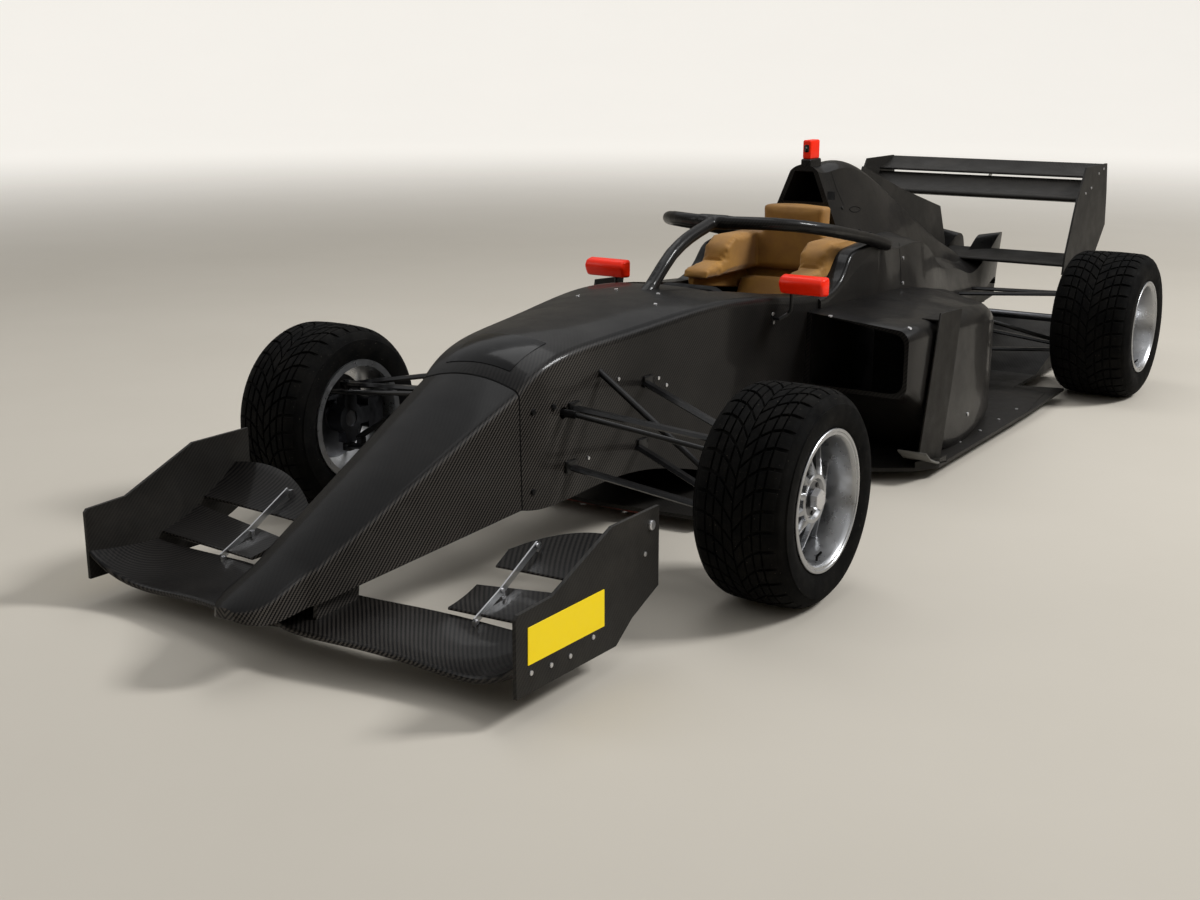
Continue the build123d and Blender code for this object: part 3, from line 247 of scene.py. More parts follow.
def satin_carbon(name, finish, rubbed=0.22, gloss=0.22):
    """Flat carbon plate without lacquer: dark grey brown, the weave only a hint of painted sheen, rubbed
    paler by handling.
    """
    material, tree, shader = start_material(name)
    warp, height = twill(tree, finish.tow)
    # painted sheen: the tow on top is drawn a little lighter
    share = add(tree, MATH, {0: warp, 1: 0.5}, operation="MULTIPLY")
    base = add(tree, MIX, {0: share, 6: linear(finish.plate), 7: linear("2b2825")}, 2, data_type="RGBA")
    base = patched(tree, base, "57534d", 4.0, 0.5, 0.8, 0.0, rubbed, 8)
    rough = clouds(tree, 12.0, 0.3, 0.7, 0.45, 0.62, 5)
    feed(tree, shader, {"Specular IOR Level": gloss}, base_color=base, roughness=rough)
    scratches = clouds(tree, 60.0, 0.0, 1.0, detail=2, stretch=(1, 0.08, 1))
    bump(tree, shader, (height, 0.18, 0.0003), (scratches, 0.08, 0.0006))
    return material


def coated_metal(
    name, colour, rough, grain, metallic=0.0, worn="6a6a6a", wear=0.2, stretch=(1, 1, 1), coat=0.0, gloss=0.3
):
    """Painted, plated or bare metal: colour with cloudy wear and a fine grain that breaks the highlights."""
    material, tree, shader = start_material(name)
    base = patched(tree, linear(colour), worn, 11.0, 0.5, 0.78, 0.0, wear, 6)
    spread = clouds(tree, 40.0, 0.3, 0.7, rough * 0.8, min(rough * 1.3, 1.0), 4, stretch)
    fixed = {"Metallic": metallic, "Coat Weight": coat, "Coat Roughness": 0.07}
    if metallic == 0:
        fixed["Specular IOR Level"] = gloss
    feed(tree, shader, fixed, base_color=base, roughness=spread)
    bump(tree, shader, (clouds(tree, grain, 0.0, 1.0, detail=3, stretch=stretch), 0.15, 0.0004))
    return material


def tyre_rubber(name):
    """Rain tyre rubber: near black, dusty brown on the worn tops, with small pale crumbs of grit."""
    material, tree, shader = start_material(name)
    base = patched(tree, linear("070707"), "211f1c", 14.0, 0.42, 0.75, 0.0, 0.4, 6, roughness=0.7)
    base = patched(tree, base, "857d72", 210.0, 0.74, 0.8, 0.0, 0.3, 1)
    rough = clouds(tree, 30.0, 0.3, 0.7, 0.68, 0.88)
    feed(tree, shader, {"Specular IOR Level": 0.06}, base_color=base, roughness=rough)
    fine = clouds(tree, 380.0, 0.0, 1.0, detail=3)
    bump(tree, shader, (fine, 0.3, 0.0005), (clouds(tree, 40.0, 0.0, 1.0, detail=3), 0.15, 0.001))
    return material


def foam_cover(name, colour):
    """Stretched tan fabric over foam: fine woven grain, softly mottled where it has been handled."""
    material, tree, shader = start_material(name)
    base = patched(tree, linear(colour), "835c28", 6.0, 0.35, 0.7, detail=5)
    # threads are 0.8 mm in fact and drawn 2.5 mm apart so that they show
    place = add(tree, COORDINATES, output="Object")
    bands = {"Vector": place, "Scale": 125.0, "Distortion": 0.6, "Detail": 1.0}
    weave, *others = [add(tree, WAVE, bands, "Fac", bands_direction=way) for way in ("X", "Y", "Z")]
    for threads in others:
        weave = add(tree, MATH, {0: weave, 1: threads}, operation="ADD")
    limits = {"Value": weave, "From Min": 0.8, "From Max": 2.2, "To Min": 0.0, "To Max": 0.25}
    colours = {0: add(tree, RANGE, limits), 6: base, 7: linear("6f4f26")}
    base = add(tree, MIX, colours, 2, data_type="RGBA")
    fixed = {"Roughness": 0.62, "Sheen Weight": 0.15, "Specular IOR Level": 0.3}
    feed(tree, shader, fixed, base_color=base)
    bump(tree, shader, (weave, 0.25, 0.0006), (clouds(tree, 18.0, 0.0, 1.0), 0.2, 0.003))
    return material


def laminated_plank(name):
    """Resin bonded wood plank: reddish brown layers along the car, scuffed pale where it has rubbed."""
    material, tree, shader = start_material(name)
    grain = clouds(tree, 60.0, 0.3, 0.7, detail=5, stretch=(1, 0.05, 6))
    base = add(tree, MIX, {0: grain, 6: linear("4a1c14"), 7: linear("7c3524")}, 2, data_type="RGBA")
    base = patched(tree, base, "93786a", 9.0, 0.55, 0.75, 0.0, 0.5, 8, (1, 0.2, 1), 0.7)
    feed(tree, shader, {"Roughness": 0.6}, base_color=base)
    bump(tree, shader, (grain, 0.3, 0.0006))
    return material


def tinted_exhaust(name):
    """Heat tinted steel: straw and blue bands that fade along the pipe."""
    material, tree, shader = start_material(name)
    uneven = clouds(tree, 9.0, 0.0, 1.0, 0.0, 0.05, 3)
    shift = add(tree, MATH, {0: coordinate(tree, 1), 1: uneven}, operation="ADD")
    bands = tree.nodes.new("ShaderNodeValToRGB")
    tree.links.new(add(tree, RANGE, {"Value": shift, "From Min": 1.78, "From Max": 2.24}), bands.inputs[0])
    stops = bands.color_ramp.elements
    stops[0].color = linear("8a8178")
    stops[1].color = linear("55504e")
    for position, colour in ((0.35, "9b7f4d"), (0.6, "5d4a66"), (0.8, "4d5f78")):
        stops.new(position).color = linear(colour)
    rough = clouds(tree, 50.0, 0.3, 0.7, 0.28, 0.5)
    feed(tree, shader, {"Metallic": 1.0}, base_color=bands.outputs[0], roughness=rough)
    bump(tree, shader, (clouds(tree, 200.0, 0.0, 1.0, detail=2), 0.1, 0.0003))
    return material


def ribbed_lens(name, colour, ribs):
    """Moulded lens: clear coloured plastic over fine ribs."""
    material, tree, shader = start_material(name)
    place = add(tree, COORDINATES, output="Object")
    wave = add(tree, WAVE, {"Vector": place, "Scale": ribs}, "Fac", bands_direction="X")
    base = add(tree, MIX, {0: wave, 6: linear(colour), 7: linear("2a0202")}, 2, data_type="RGBA")
    feed(tree, shader, {"Roughness": 0.25, "Coat Weight": 1.0}, base_color=base)
    bump(tree, shader, (wave, 0.4, 0.001))
    return material


def radiator_core(name):
    """Aluminium radiator: thin fins between flat tubes, with painted shade in the gaps."""
    material, tree, shader = start_material(name)
    place = add(tree, COORDINATES, output="Object")
    fins = add(tree, WAVE, {"Vector": place, "Scale": 90.0}, "Fac", bands_direction="X")
    tubes = add(tree, WAVE, {"Vector": place, "Scale": 22.0}, "Fac", bands_direction="Z")
    height = add(tree, MATH, {0: fins, 1: tubes}, operation="MAXIMUM")
    # painted shade: the gaps between fins and tubes are drawn near black
    base = add(tree, MIX, {0: height, 6: linear("060606"), 7: linear("3c3d3e")}, 2, data_type="RGBA")
    feed(tree, shader, {"Metallic": 0.6, "Roughness": 0.5}, base_color=base)
    bump(tree, shader, (height, 0.5, 0.002))
    return material


def mirror_glass(name):
    """Silvered convex glass with a breath of dust."""
    material, tree, shader = start_material(name)
    smear = clouds(tree, 20.0, 0.4, 0.8, 0.0, 0.12, 5)
    base = add(tree, MIX, {0: smear, 6: linear("dfe3e4"), 7: linear("a8a49c")}, 2, data_type="RGBA")
    rough = add(tree, RANGE, {"Value": smear, "From Max": 0.12, "To Min": 0.02, "To Max": 0.12})
    feed(tree, shader, {"Metallic": 1.0}, base_color=base, roughness=rough)
    return material


def make_finishes(finish):
    """All finishes of the car by their own name."""
    lacquered, metal = lacquered_carbon, coated_metal
    return {
        "gloss": lacquered("clear lacquered carbon twill", finish, 0.25, 0.04),
        "tub": lacquered("clear lacquered tub twill", finish, 0.1, 0.03, 0.16),
        "nose": lacquered("clear lacquered nose twill", finish, 0.03, 0.02, 0.12),
        "wing": lacquered("clear lacquered wing twill", finish, 0.35, 0.04, 0.14),
        "hatch": metal("polished black hatch", "040405", 0.16, 90, coat=0.15, wear=0.02, gloss=0.06),
        "satin": satin_carbon("satin carbon plate", finish),
        "vane": satin_carbon("flat carbon vane", finish, 0.08, 0.1),
        "arms": metal("satin black steel tube", "0c0c0d", 0.36, 160, 0.0, "33322f", 0.3, coat=0.2, gloss=0.2),
        "machined": metal("machined aluminium", "b9babc", 0.32, 260, 1.0, "8b8987", stretch=(1, 0.2, 1)),
        "upright": metal("hard anodised aluminium", "3c3d40", 0.42, 180, 1.0, "66666a"),
        "red": metal("orange red enamel", finish.mirror, 0.34, 60, worn="e62806", coat=0.14, gloss=0.16),
        "scuffed": metal("scuffed edge of the floor", "5f5e5b", 0.5, 120, worn="8b8984", wear=0.6),
        "plank": laminated_plank("laminated skid plank"),
        "foam": foam_cover("tan fabric over foam", finish.foam),
        "cast": metal("cast magnesium", "4a4b4e", 0.55, 320, 0.8, "2f2e2d", 0.5),
        "lamp": ribbed_lens("red ribbed lens", "8a0606", 110.0),
        "exhaust": tinted_exhaust("heat tinted steel"),
        "grip": metal("moulded black rubber", "0b0b0c", 0.75, 480, worn="262523", wear=0.35, gloss=0.2),
        "tyre": tyre_rubber("rain tyre rubber"),
        "rim": metal("polished silver rim", finish.rim, 0.3, 160, 0.92, "8f8d89", 0.12),
        "hub": metal("ground steel", "6c6d70", 0.36, 320, 1.0, "453f3a", 0.5),
        "radiator": radiator_core("radiator core"),
        "zinc": metal("zinc plated steel", "c9c9cb", 0.3, 300, 0.9, "96938f", 0.4),
        "black_bolt": metal("black oxide steel", "111112", 0.4, 300, 0.6, "37363a", 0.4),
        "sticker": metal("yellow enamelled plate", finish.sticker, 0.42, 40, worn="e6bd10", gloss=0.2),
        # the dark finish also serves as painted shade in the airbox ports
        "dark": metal("dark gap, rubber seal and painted port shade", "030303", 0.85, 80, worn="0e0e0d", gloss=0.1),
        "glass": mirror_glass("silvered mirror glass"),
        "screen": metal("dark screen glass", "05070a", 0.1, 20, wear=0.05, coat=0.8),
        "button": metal("moulded button plastic", "b3261c", 0.35, 100, worn="8a1c14"),
    }


# finish of each CAD node; nodes that are not named here take the finish of their slot
NODE_FINISH = {
    "nose_cone": "nose",
    "monocoque": "tub",
    "front_wing_mainplane": "wing",
    "front_wing_flaps": "wing",
    "front_upright_left": "upright",
    "front_upright_right": "upright",
    "rear_uprights": "upright",
    "track_rods": "arms",
    "radiators": "radiator",
}
SLOT_FINISH = {
    "carbon_gloss": "gloss",
    "carbon_satin": "satin",
    "suspension_black": "arms",
    "bare_metal": "machined",
    "red_paint": "red",
    "plank_wood": "plank",
    "foam_tan": "foam",
    "cast_metal": "cast",
    "lamp_red": "lamp",
    "exhaust_metal": "exhaust",
    "grip_black": "grip",
    "tyre_rubber": "tyre",
    "rim_metal": "rim",
    "hub_metal": "hub",
}
# material of each finish, by its name in Blender
FINISH_NAMES = {}


def behind(x, distance, height):
    """Point from its distance behind the front axle."""
    return Vector((x, FRONT_AXLE + distance, height))


# camera that was fitted to the photograph, and the photograph's middle
CAMERA_AT = Vector((2.3852, -4.5657, 1.3508))
CAMERA_YAW = -0.5825
CAMERA_PITCH = 0.2576
CAMERA_ROLL = 0.0019
FOCAL_PIXELS = 1509.55
PHOTO_MIDDLE = (600, 450)


def camera_axes():
    """Right, up and forward of the fitted camera."""
    level = Vector((math.cos(CAMERA_YAW), -math.sin(CAMERA_YAW), 0))
    ahead = Vector((math.sin(CAMERA_YAW), math.cos(CAMERA_YAW), 0))
    forward = ahead * math.cos(CAMERA_PITCH) - Vector((0, 0, math.sin(CAMERA_PITCH)))
    rise = level.cross(forward)
    right = level * math.cos(CAMERA_ROLL) + rise * math.sin(CAMERA_ROLL)
    up = rise * math.cos(CAMERA_ROLL) - level * math.sin(CAMERA_ROLL)
    return right, up, forward


def seen_at(px, py, node):
    """Place and outward normal of a CAD node at a pixel of the 1200 by 900 photograph."""
    right, up, forward = camera_axes()
    ray = forward * FOCAL_PIXELS + right * (px - PHOTO_MIDDLE[0]) - up * (py - PHOTO_MIDDLE[1])
    return hit(node, CAMERA_AT, ray)


def hit(node, start, ray):
    """Place and outward normal where a ray meets a CAD node or a finished piece."""
    target = NODES.get(node) or bpy.data.objects[node]
    found, place, normal, _ = target.ray_cast(Vector(start), Vector(ray).normalized())
    if not found:
        raise RuntimeError(f"no surface of {node} on the ray from {tuple(start)}")
    if normal.dot(ray) > 0:
        normal = -normal
    return place, normal


def mirrored(places):
    """The same places on both sides of the car."""
    flip = Vector((-1, 1, 1))
    return list(places) + [(place * flip, normal * flip) for place, normal in places]


def mesh_of(name, bm):
    """A mesh from a bmesh that is not needed any more."""
    mesh = bpy.data.meshes.new(name)
    bm.to_mesh(mesh)
    bm.free()
    return mesh


def new_object(name, data):
    """An object in the scene, at the origin."""
    made = bpy.data.objects.new(name, data)
    bpy.context.scene.collection.objects.link(made)
    return made


def dressed(piece, key, slot=None, body="chassis", node=None):
    """Gives a piece its finish, the body it rides on, and the CAD node that it replaces, if any; the slot is
    not used.
    """
    piece.data.materials.clear()
    piece.data.materials.append(bpy.data.materials[FINISH_NAMES[key]])
    piece.data.shade_smooth()
    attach(piece, body)
    if node:
        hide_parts(node)
    return piece


def finished(name, bm, key, angle=35, **place):
    """Turns a finished bmesh into a dressed piece whose edges are sharp from an angle on."""
    piece = dressed(new_object(name, mesh_of(name, bm)), key, **place)
    piece.data.set_sharp_from_angle(angle=math.radians(angle))
    return piece


def everything(bm):
    """All vertices, edges and faces of a bmesh."""
    return bm.verts[:] + bm.edges[:] + bm.faces[:]


def outwards(bm, merge=0.0):
    """Merges doubles, if asked, and turns the faces outwards."""
    if merge:
        bmesh.ops.remove_doubles(bm, verts=bm.verts, dist=merge)
    bmesh.ops.recalc_face_normals(bm, faces=bm.faces)
    return bm


def top_face(bm):
    """The highest face of a bmesh."""
    return max(bm.faces, key=lambda face: face.calc_center_median().z)


def raise_faces(bm, faces, shift):
    """Extrudes faces by a shift and gives the new faces."""
    made = bmesh.ops.extrude_face_region(bm, geom=list(faces))["geom"]
    bmesh.ops.translate(bm, vec=Vector(shift), verts=[v for v in made if isinstance(v, bmesh.types.BMVert)])
    return [f for f in made if isinstance(f, bmesh.types.BMFace)]


def soften(bm, geom, offset, segments=2, affect="EDGES"):
    """Rounds edges, or the corners of a flat outline."""
    bmesh.ops.bevel(
        bm, geom=list(geom), offset=offset, affect=affect, segments=segments, profile=0.5, material=-1
    )


def sheet(bm, places, away):
    """One flat face from its corners, whose front looks towards a direction."""
    face = bm.faces.new([bm.verts.new(place) for place in places])
    face.normal_update()
    if face.normal.dot(Vector(away)) < 0:
        bmesh.ops.reverse_faces(bm, faces=[face])


def slab(places, shift, edge=0.0):
    """A solid from a flat outline and the shift that raises it, with chamfered edges."""
    bm = bmesh.new()
    sheet(bm, places, -Vector(shift))
    raise_faces(bm, bm.faces, shift)
    outwards(bm)
    if edge:
        soften(bm, bm.edges, edge, 1)
    return bm


def prism(outline, low, high, edge=0.0):
    """A solid between two X values from an outline of distances behind the front axle and heights."""
    return slab([behind(low, distance, height) for distance, height in outline], (high - low, 0, 0), edge)


def block(low, high, edge):
    """A block with round edges between two corners."""
    bm = bmesh.new()
    bmesh.ops.create_cube(bm, size=1.0)
    bmesh.ops.scale(bm, vec=high - low, verts=bm.verts)
    bmesh.ops.translate(bm, vec=(high + low) / 2, verts=bm.verts)
    soften(bm, bm.edges, edge, 4)
    return bm


def stud(radius, height, sides, rounding, wall, depth):
    """A round or hexagon head at the origin: its top edge rounded, its middle sunk inside a wall."""
    bm = bmesh.new()
    bmesh.ops.create_circle(bm, cap_ends=True, radius=radius, segments=sides)
    raise_faces(bm, bm.faces, (0, 0, height))
    soften(bm, top_face(bm).edges, rounding)
    middle = top_face(bm)
    bmesh.ops.inset_region(bm, faces=[middle], thickness=wall)
    raise_faces(bm, [middle], (0, 0, -depth))
    return outwards(bm)


def socket_screw(radius):
    """One round screw head with a socket."""
    height = radius * 0.55
    return stud(radius, height, 12, radius * 0.18, radius * 0.34, height * 0.6)


def knob(radius, height, sides=20):
    """A turning knob with a rounded top and a shallow dish."""
    return stud(radius, height, sides, radius * 0.2, radius * 0.25, height * 0.25)


# flat plates: columns: width, height, corner radius, thickness, edge radius
PLATES = {
    "suspension_bracket": (0.046, 0.034, 0.006, 0.009, 0.002),
    "lens_window": (0.019, 0.026, 0.005, 0.0012, 0.0004),
    "mirror_seal": (0.146, 0.048, 0.012, 0.002, 0.0008),
    "mirror_glass": (0.136, 0.040, 0.010, 0.0008, 0.0003),
    "stalk_tab": (0.018, 0.040, 0.006, 0.004, 0.001),
    "steering_face": (0.150, 0.104, 0.018, 0.003, 0.001),
    "steering_screen": (0.074, 0.044, 0.004, 0.003, 0.0008),
    "shift_paddle": (0.048, 0.070, 0.010, 0.003, 0.001),
}


def plate(kind):
    """A plate with round corners in the XY plane, standing on the ground at the origin."""
    width, height, corner, thickness, edge = PLATES[kind]
    bm = bmesh.new()
    bmesh.ops.create_grid(bm, x_segments=1, y_segments=1, size=0.5)
    bmesh.ops.scale(bm, vec=(width, height, 1), verts=bm.verts)
    soften(bm, bm.verts, corner, 4, "VERTICES")
    top = raise_faces(bm, bm.faces, (0, 0, thickness))
    soften(bm, top[0].edges, edge)
    return outwards(bm)


def patch_on(node, pixels, thickness, corner):
    """A flat thin plate whose corners lie on a node at photo pixels."""
    hits = [seen_at(x, y, node) for x, y in pixels]
    normal = hits[0][1]
    bm = bmesh.new()
    sheet(bm, [place + normal * 0.0003 for place, _ in hits], normal)
    soften(bm, bm.verts, corner, 3, "VERTICES")
    top = raise_faces(bm, bm.faces, normal * thickness)
    soften(bm, top[0].edges, thickness * 0.35, 1)
    return outwards(bm)


def turned(section, sides, merge=1e-6, closed=True, axis=ACROSS):
    """A skin spun from the points of a section round an axis through the origin."""
    bm = bmesh.new()
    verts = [bm.verts.new(place) for place in section]
    edges = [bm.edges.new(pair) for pair in zip(verts, verts[1:] + (verts[:1] if closed else []))]
    bmesh.ops.spin(
        bm,
        geom=verts + edges,
        cent=ORIGIN,
        axis=axis,
        dvec=ORIGIN,
        angle=math.tau,
        steps=sides,
        use_merge=True,
    )
    return outwards(bm, merge)


def repeated(bm, count):
    """A piece and its copies, evenly spread round the X axis."""
    bmesh.ops.spin(
        bm,
        geom=everything(bm),
        cent=ORIGIN,
        axis=ACROSS,
        dvec=ORIGIN,
        angle=math.tau * (count - 1) / count,
        steps=count - 1,
        use_duplicate=True,
    )
    return bm


def placed(bm, at, normal, up=(0, 0, 1)):
    """Stands a bmesh made on the ground onto a place, its top along the normal and its Y along up."""
    z = Vector(normal).normalized()
    x = Vector(up).cross(z).normalized()
    turn = Matrix((x, z.cross(x), z)).transposed().to_4x4()
    bmesh.ops.transform(bm, matrix=Matrix.Translation(Vector(at)) @ turn, verts=bm.verts)
    return bm


def stand_on(template, places, sink):
    """Copies of a small bmesh, each standing on its place along its normal."""
    mesh = mesh_of("template", template)
    whole = bmesh.new()
    for place, normal in places:
        start = len(whole.verts)
        whole.from_mesh(mesh)
        whole.verts.ensure_lookup_table()
        turn = Vector(normal).to_track_quat("Z", "Y").to_matrix().to_4x4()
        matrix = Matrix.Translation(Vector(place) - Vector(normal).normalized() * sink) @ turn
        bmesh.ops.transform(whole, matrix=matrix, verts=whole.verts[start:])
    bpy.data.meshes.remove(mesh)
    return whole


def joined(*parts):
    """One bmesh from several."""
    whole = bmesh.new()
    for part in parts:
        mesh = mesh_of("part", part)
        whole.from_mesh(mesh)
        bpy.data.meshes.remove(mesh)
    return whole


def both_sides(*parts):
    """One bmesh from several, with its mirror image across the car."""
    bm = joined(*parts)
    flip = bm.copy()
    bmesh.ops.transform(flip, matrix=Matrix.Scale(-1, 4, ACROSS), verts=flip.verts)
    bmesh.ops.reverse_faces(flip, faces=flip.faces)
    return joined(bm, flip)


def rod(points, radius, closed=False, corners=3):
    """A round rod through points."""
    curve = bpy.data.curves.new("rod", "CURVE")
    curve.dimensions = "3D"
    curve.bevel_depth = radius
    curve.bevel_resolution = corners
    curve.use_fill_caps = True
    spline = curve.splines.new("POLY")
    spline.points.add(len(points) - 1)
    for knot, place in zip(spline.points, points):
        knot.co = (*place, 1)
    spline.use_cyclic_u = closed
    holder = new_object("rod", curve)
    mesh = bpy.data.meshes.new_from_object(holder.evaluated_get(bpy.context.evaluated_depsgraph_get()))
    bm = bmesh.new()
    bm.from_mesh(mesh)
    bpy.data.objects.remove(holder)
    bpy.data.curves.remove(curve)
    bpy.data.meshes.remove(mesh)
    return outwards(bm, 1e-6)


def drawn_line(node, pixels, radius, steps=6, closed=False, sink=0.0):
    """A thin round line that lies on a node along a line of photo pixels."""
    ends = pixels + pixels[:1] if closed else pixels
    spots = []
    for (x0, y0), (x1, y1) in zip(ends, ends[1:]):
        spots += [(x0 + (x1 - x0) * k / steps, y0 + (y1 - y0) * k / steps) for k in range(steps)]
    if not closed:
        spots.append(pixels[-1])
    hits = [seen_at(x, y, node) for x, y in spots]
    return rod([place - normal * sink for place, normal in hits], radius, closed, 2)


def merged_copy(node):
    """A welded bmesh copy of a CAD node."""
    bm = bmesh.new()
    bm.from_mesh(NODES[node].data)
    bmesh.ops.remove_doubles(bm, verts=bm.verts, dist=1e-6)
    return bm


def cut(bm, place, normal, both=False):
    """Cuts along a plane, and keeps both halves or only the one that the plane's normal points away from."""
    bmesh.ops.bisect_plane(
        bm, geom=everything(bm), plane_co=Vector(place), plane_no=Vector(normal), clear_outer=not both
    )


def skin_patch(node, planes, facing, proud, thickness):
    """A thin piece of a node's outer skin between planes, standing proud of it along its normals."""
    bm = merged_copy(node)
    for place, normal in planes:
        cut(bm, place, normal)
    bmesh.ops.delete(bm, geom=[f for f in bm.faces if not facing(f)], context="FACES")
    bm.normal_update()
    for vert, normal in [(v, v.normal.copy()) for v in bm.verts]:
        vert.co += normal * proud
    bmesh.ops.solidify(bm, geom=bm.faces[:], thickness=thickness)
    return outwards(bm)


def bake_modifiers(piece):
    """Replaces a piece's mesh by what its modifiers make of it."""
    ready = piece.evaluated_get(bpy.context.evaluated_depsgraph_get())
    mesh = bpy.data.meshes.new_from_object(ready)
    piece.modifiers.clear()
    old = piece.data
    piece.data = mesh
    bpy.data.meshes.remove(old)


def melted(name, bm, voxel, rounding, cutter=None):
    """An object from a bmesh, cut if need be, remeshed to one skin with its edges and joints rounded."""
    piece = new_object(name, mesh_of(name, bm))
    if cutter:
        knife = new_object("knife", mesh_of("knife", cutter))
        trim = piece.modifiers.new("trim", "BOOLEAN")
        trim.operation = "DIFFERENCE"
        trim.solver = "EXACT"
        trim.object = knife
        bake_modifiers(piece)
        bpy.data.meshes.remove(knife.data)
    remesh = piece.modifiers.new("remesh", "REMESH")
    remesh.mode = "VOXEL"
    remesh.voxel_size = voxel
    smooth = piece.modifiers.new("round edges", "SMOOTH")
    smooth.factor = 0.5
    smooth.iterations = rounding
    bake_modifiers(piece)
    return piece


# padded pieces: how fine they are remeshed, the cloth pressure inside them and how many frames it runs, and
# how far it may swell them
PAD_VOXEL = 0.007
PAD_PRESSURE = 4.0
SIM_FRAMES = 12
PAD_SWELL = 0.004


def soft_pad(name, node, rounding, cutter):
    """A padded piece from a CAD solid: remeshed, its edges rounded, swollen a little by cloth pressure."""
    pad = melted(name, merged_copy(node), PAD_VOXEL, rounding, cutter)
    rest = [v.co.copy() for v in pad.data.vertices]
    cloth = pad.modifiers.new("pressure", "CLOTH")
    cloth.settings.use_pressure = True
    cloth.settings.uniform_pressure_force = PAD_PRESSURE
    cloth.settings.effector_weights.gravity = 0.0
    cloth.settings.quality = 3
    cloth.point_cache.frame_start = 1
    cloth.point_cache.frame_end = SIM_FRAMES
    for frame_number in range(1, SIM_FRAMES + 1):
        bpy.context.scene.frame_set(frame_number)
    bake_modifiers(pad)
    bpy.context.scene.frame_set(1)
    for vert, start in zip(pad.data.vertices, rest):
        shift = vert.co - start
        if shift.length > PAD_SWELL:
            vert.co = start + shift.normalized() * PAD_SWELL
    return pad


# columns: axle, distance of the tyre's outer face from the car's middle, radius, width, row position along Y,
# share of the front tyre's pitches
WHEELS = [
    ("front", 0.900, 0.280, 0.256, FRONT_AXLE, 1.0),
    ("rear", 0.925, 0.290, 0.312, REAR_AXLE, 1.06),
]
# how far the rim's edge lies inside the tyre's side, and the bead inside the rim's edge
RIM_EDGE = 0.006
BEAD_SEAT = 0.007
# tread: width of its shoulder, how far its crown falls, and the share of the grooves' depth at the shoulder
SHOULDER_WIDTH = 0.048
CROWN_FALL = 0.003
SHOULDER_DEPTH = 0.7
# blocks of one pitch on one side: columns: inner edge and outer edge as shares of the half tread, lag at the
# inner edge and at the outer edge as shares of a pitch
TREAD_BLOCKS = [
    (0.020, 0.225, 0.00, -0.55),
    (0.275, 0.460, -0.65, -1.00),
    (0.510, 0.675, -1.05, -1.18),
    (0.720, 1.000, -1.20, -1.22),
]


def wheels():
    """The four wheels: axle, hand, side of the car and the rest of the axle's row of sizes."""
    for axle, *sizes in WHEELS:
        for hand, side in SIDES.items():
            yield axle, hand, side, sizes


def at_wheel(bm, outer, width, radius, row, side):
    """Puts a bmesh made round the X axis, outer side +X, in its wheel's place."""
    flip = Matrix.Scale(side, 4, ACROSS)
    matrix = Matrix.Translation((side * (outer - width / 2), row, radius)) @ flip
    bmesh.ops.transform(bm, matrix=matrix, verts=bm.verts)
    if side < 0:
        bmesh.ops.reverse_faces(bm, faces=bm.faces)
    return bm


def crown_radius(radius, half, x):
    """Tread radius at a distance from the tyre's middle plane."""
    distance = abs(x)
    flat = half - SHOULDER_WIDTH
    if distance <= flat:
        return radius - CROWN_FALL * (distance / flat) ** 2
    across = (distance - flat) / 0.028
    return radius - CROWN_FALL - 0.004 * across - 0.009 * across**2


def tread_block(bm, side, row, radius, half, depth, pitch, gap):
    """One raised block: a curved top with chamfered edges and walls down into the carcass, and no bottom."""
    inner, outer, lag_in, lag_out = row
    shift = 0.5 if side < 0 else 0.0
    spans = 2 if outer < 0.9 else 3
    near, far = [], []
    for k in range(spans + 1):
        share = inner + (outer - inner) * k / spans
        lag = lag_in + (lag_out - lag_in) * k / spans
        x = side * max(share * (half - 0.022), 0.0022)
        near.append((x, (lag + shift) * pitch + gap / 2))
        far.append((x, (1.0 + lag + shift) * pitch - gap / 2))
    rows = []
    for line in (near, [(x, (a + b) / 2) for (x, a), (_, b) in zip(near, far)], far):
        rows.append([])
        for x, turn in line:
            share = 1.0 if abs(x) < half - 0.03 else SHOULDER_DEPTH
            reach = crown_radius(radius, half, x) - 0.001 - depth * share
            rows[-1].append(bm.verts.new((x, -reach * math.sin(turn), reach * math.cos(turn))))
    base = []
    for low, high in zip(rows, rows[1:]):
        base += [bm.faces.new(corners) for corners in zip(low, low[1:], high[1:], high)]
    top = bmesh.ops.extrude_face_region(bm, geom=base)["geom"]
    for vert in top:
        if isinstance(vert, bmesh.types.BMVert):
            x, y, z = vert.co
            scale = crown_radius(radius, half, x) / math.hypot(y, z)
            vert.co = (x, y * scale, z * scale)
    tops = [f for f in top if isinstance(f, bmesh.types.BMFace)]
    border = [e for f in tops for e in f.edges if sum(g in tops for g in e.link_faces) == 1]
    bmesh.ops.delete(bm, geom=[f for f in base if f.is_valid], context="FACES_ONLY")
    soften(bm, border, 0.0011, 1)


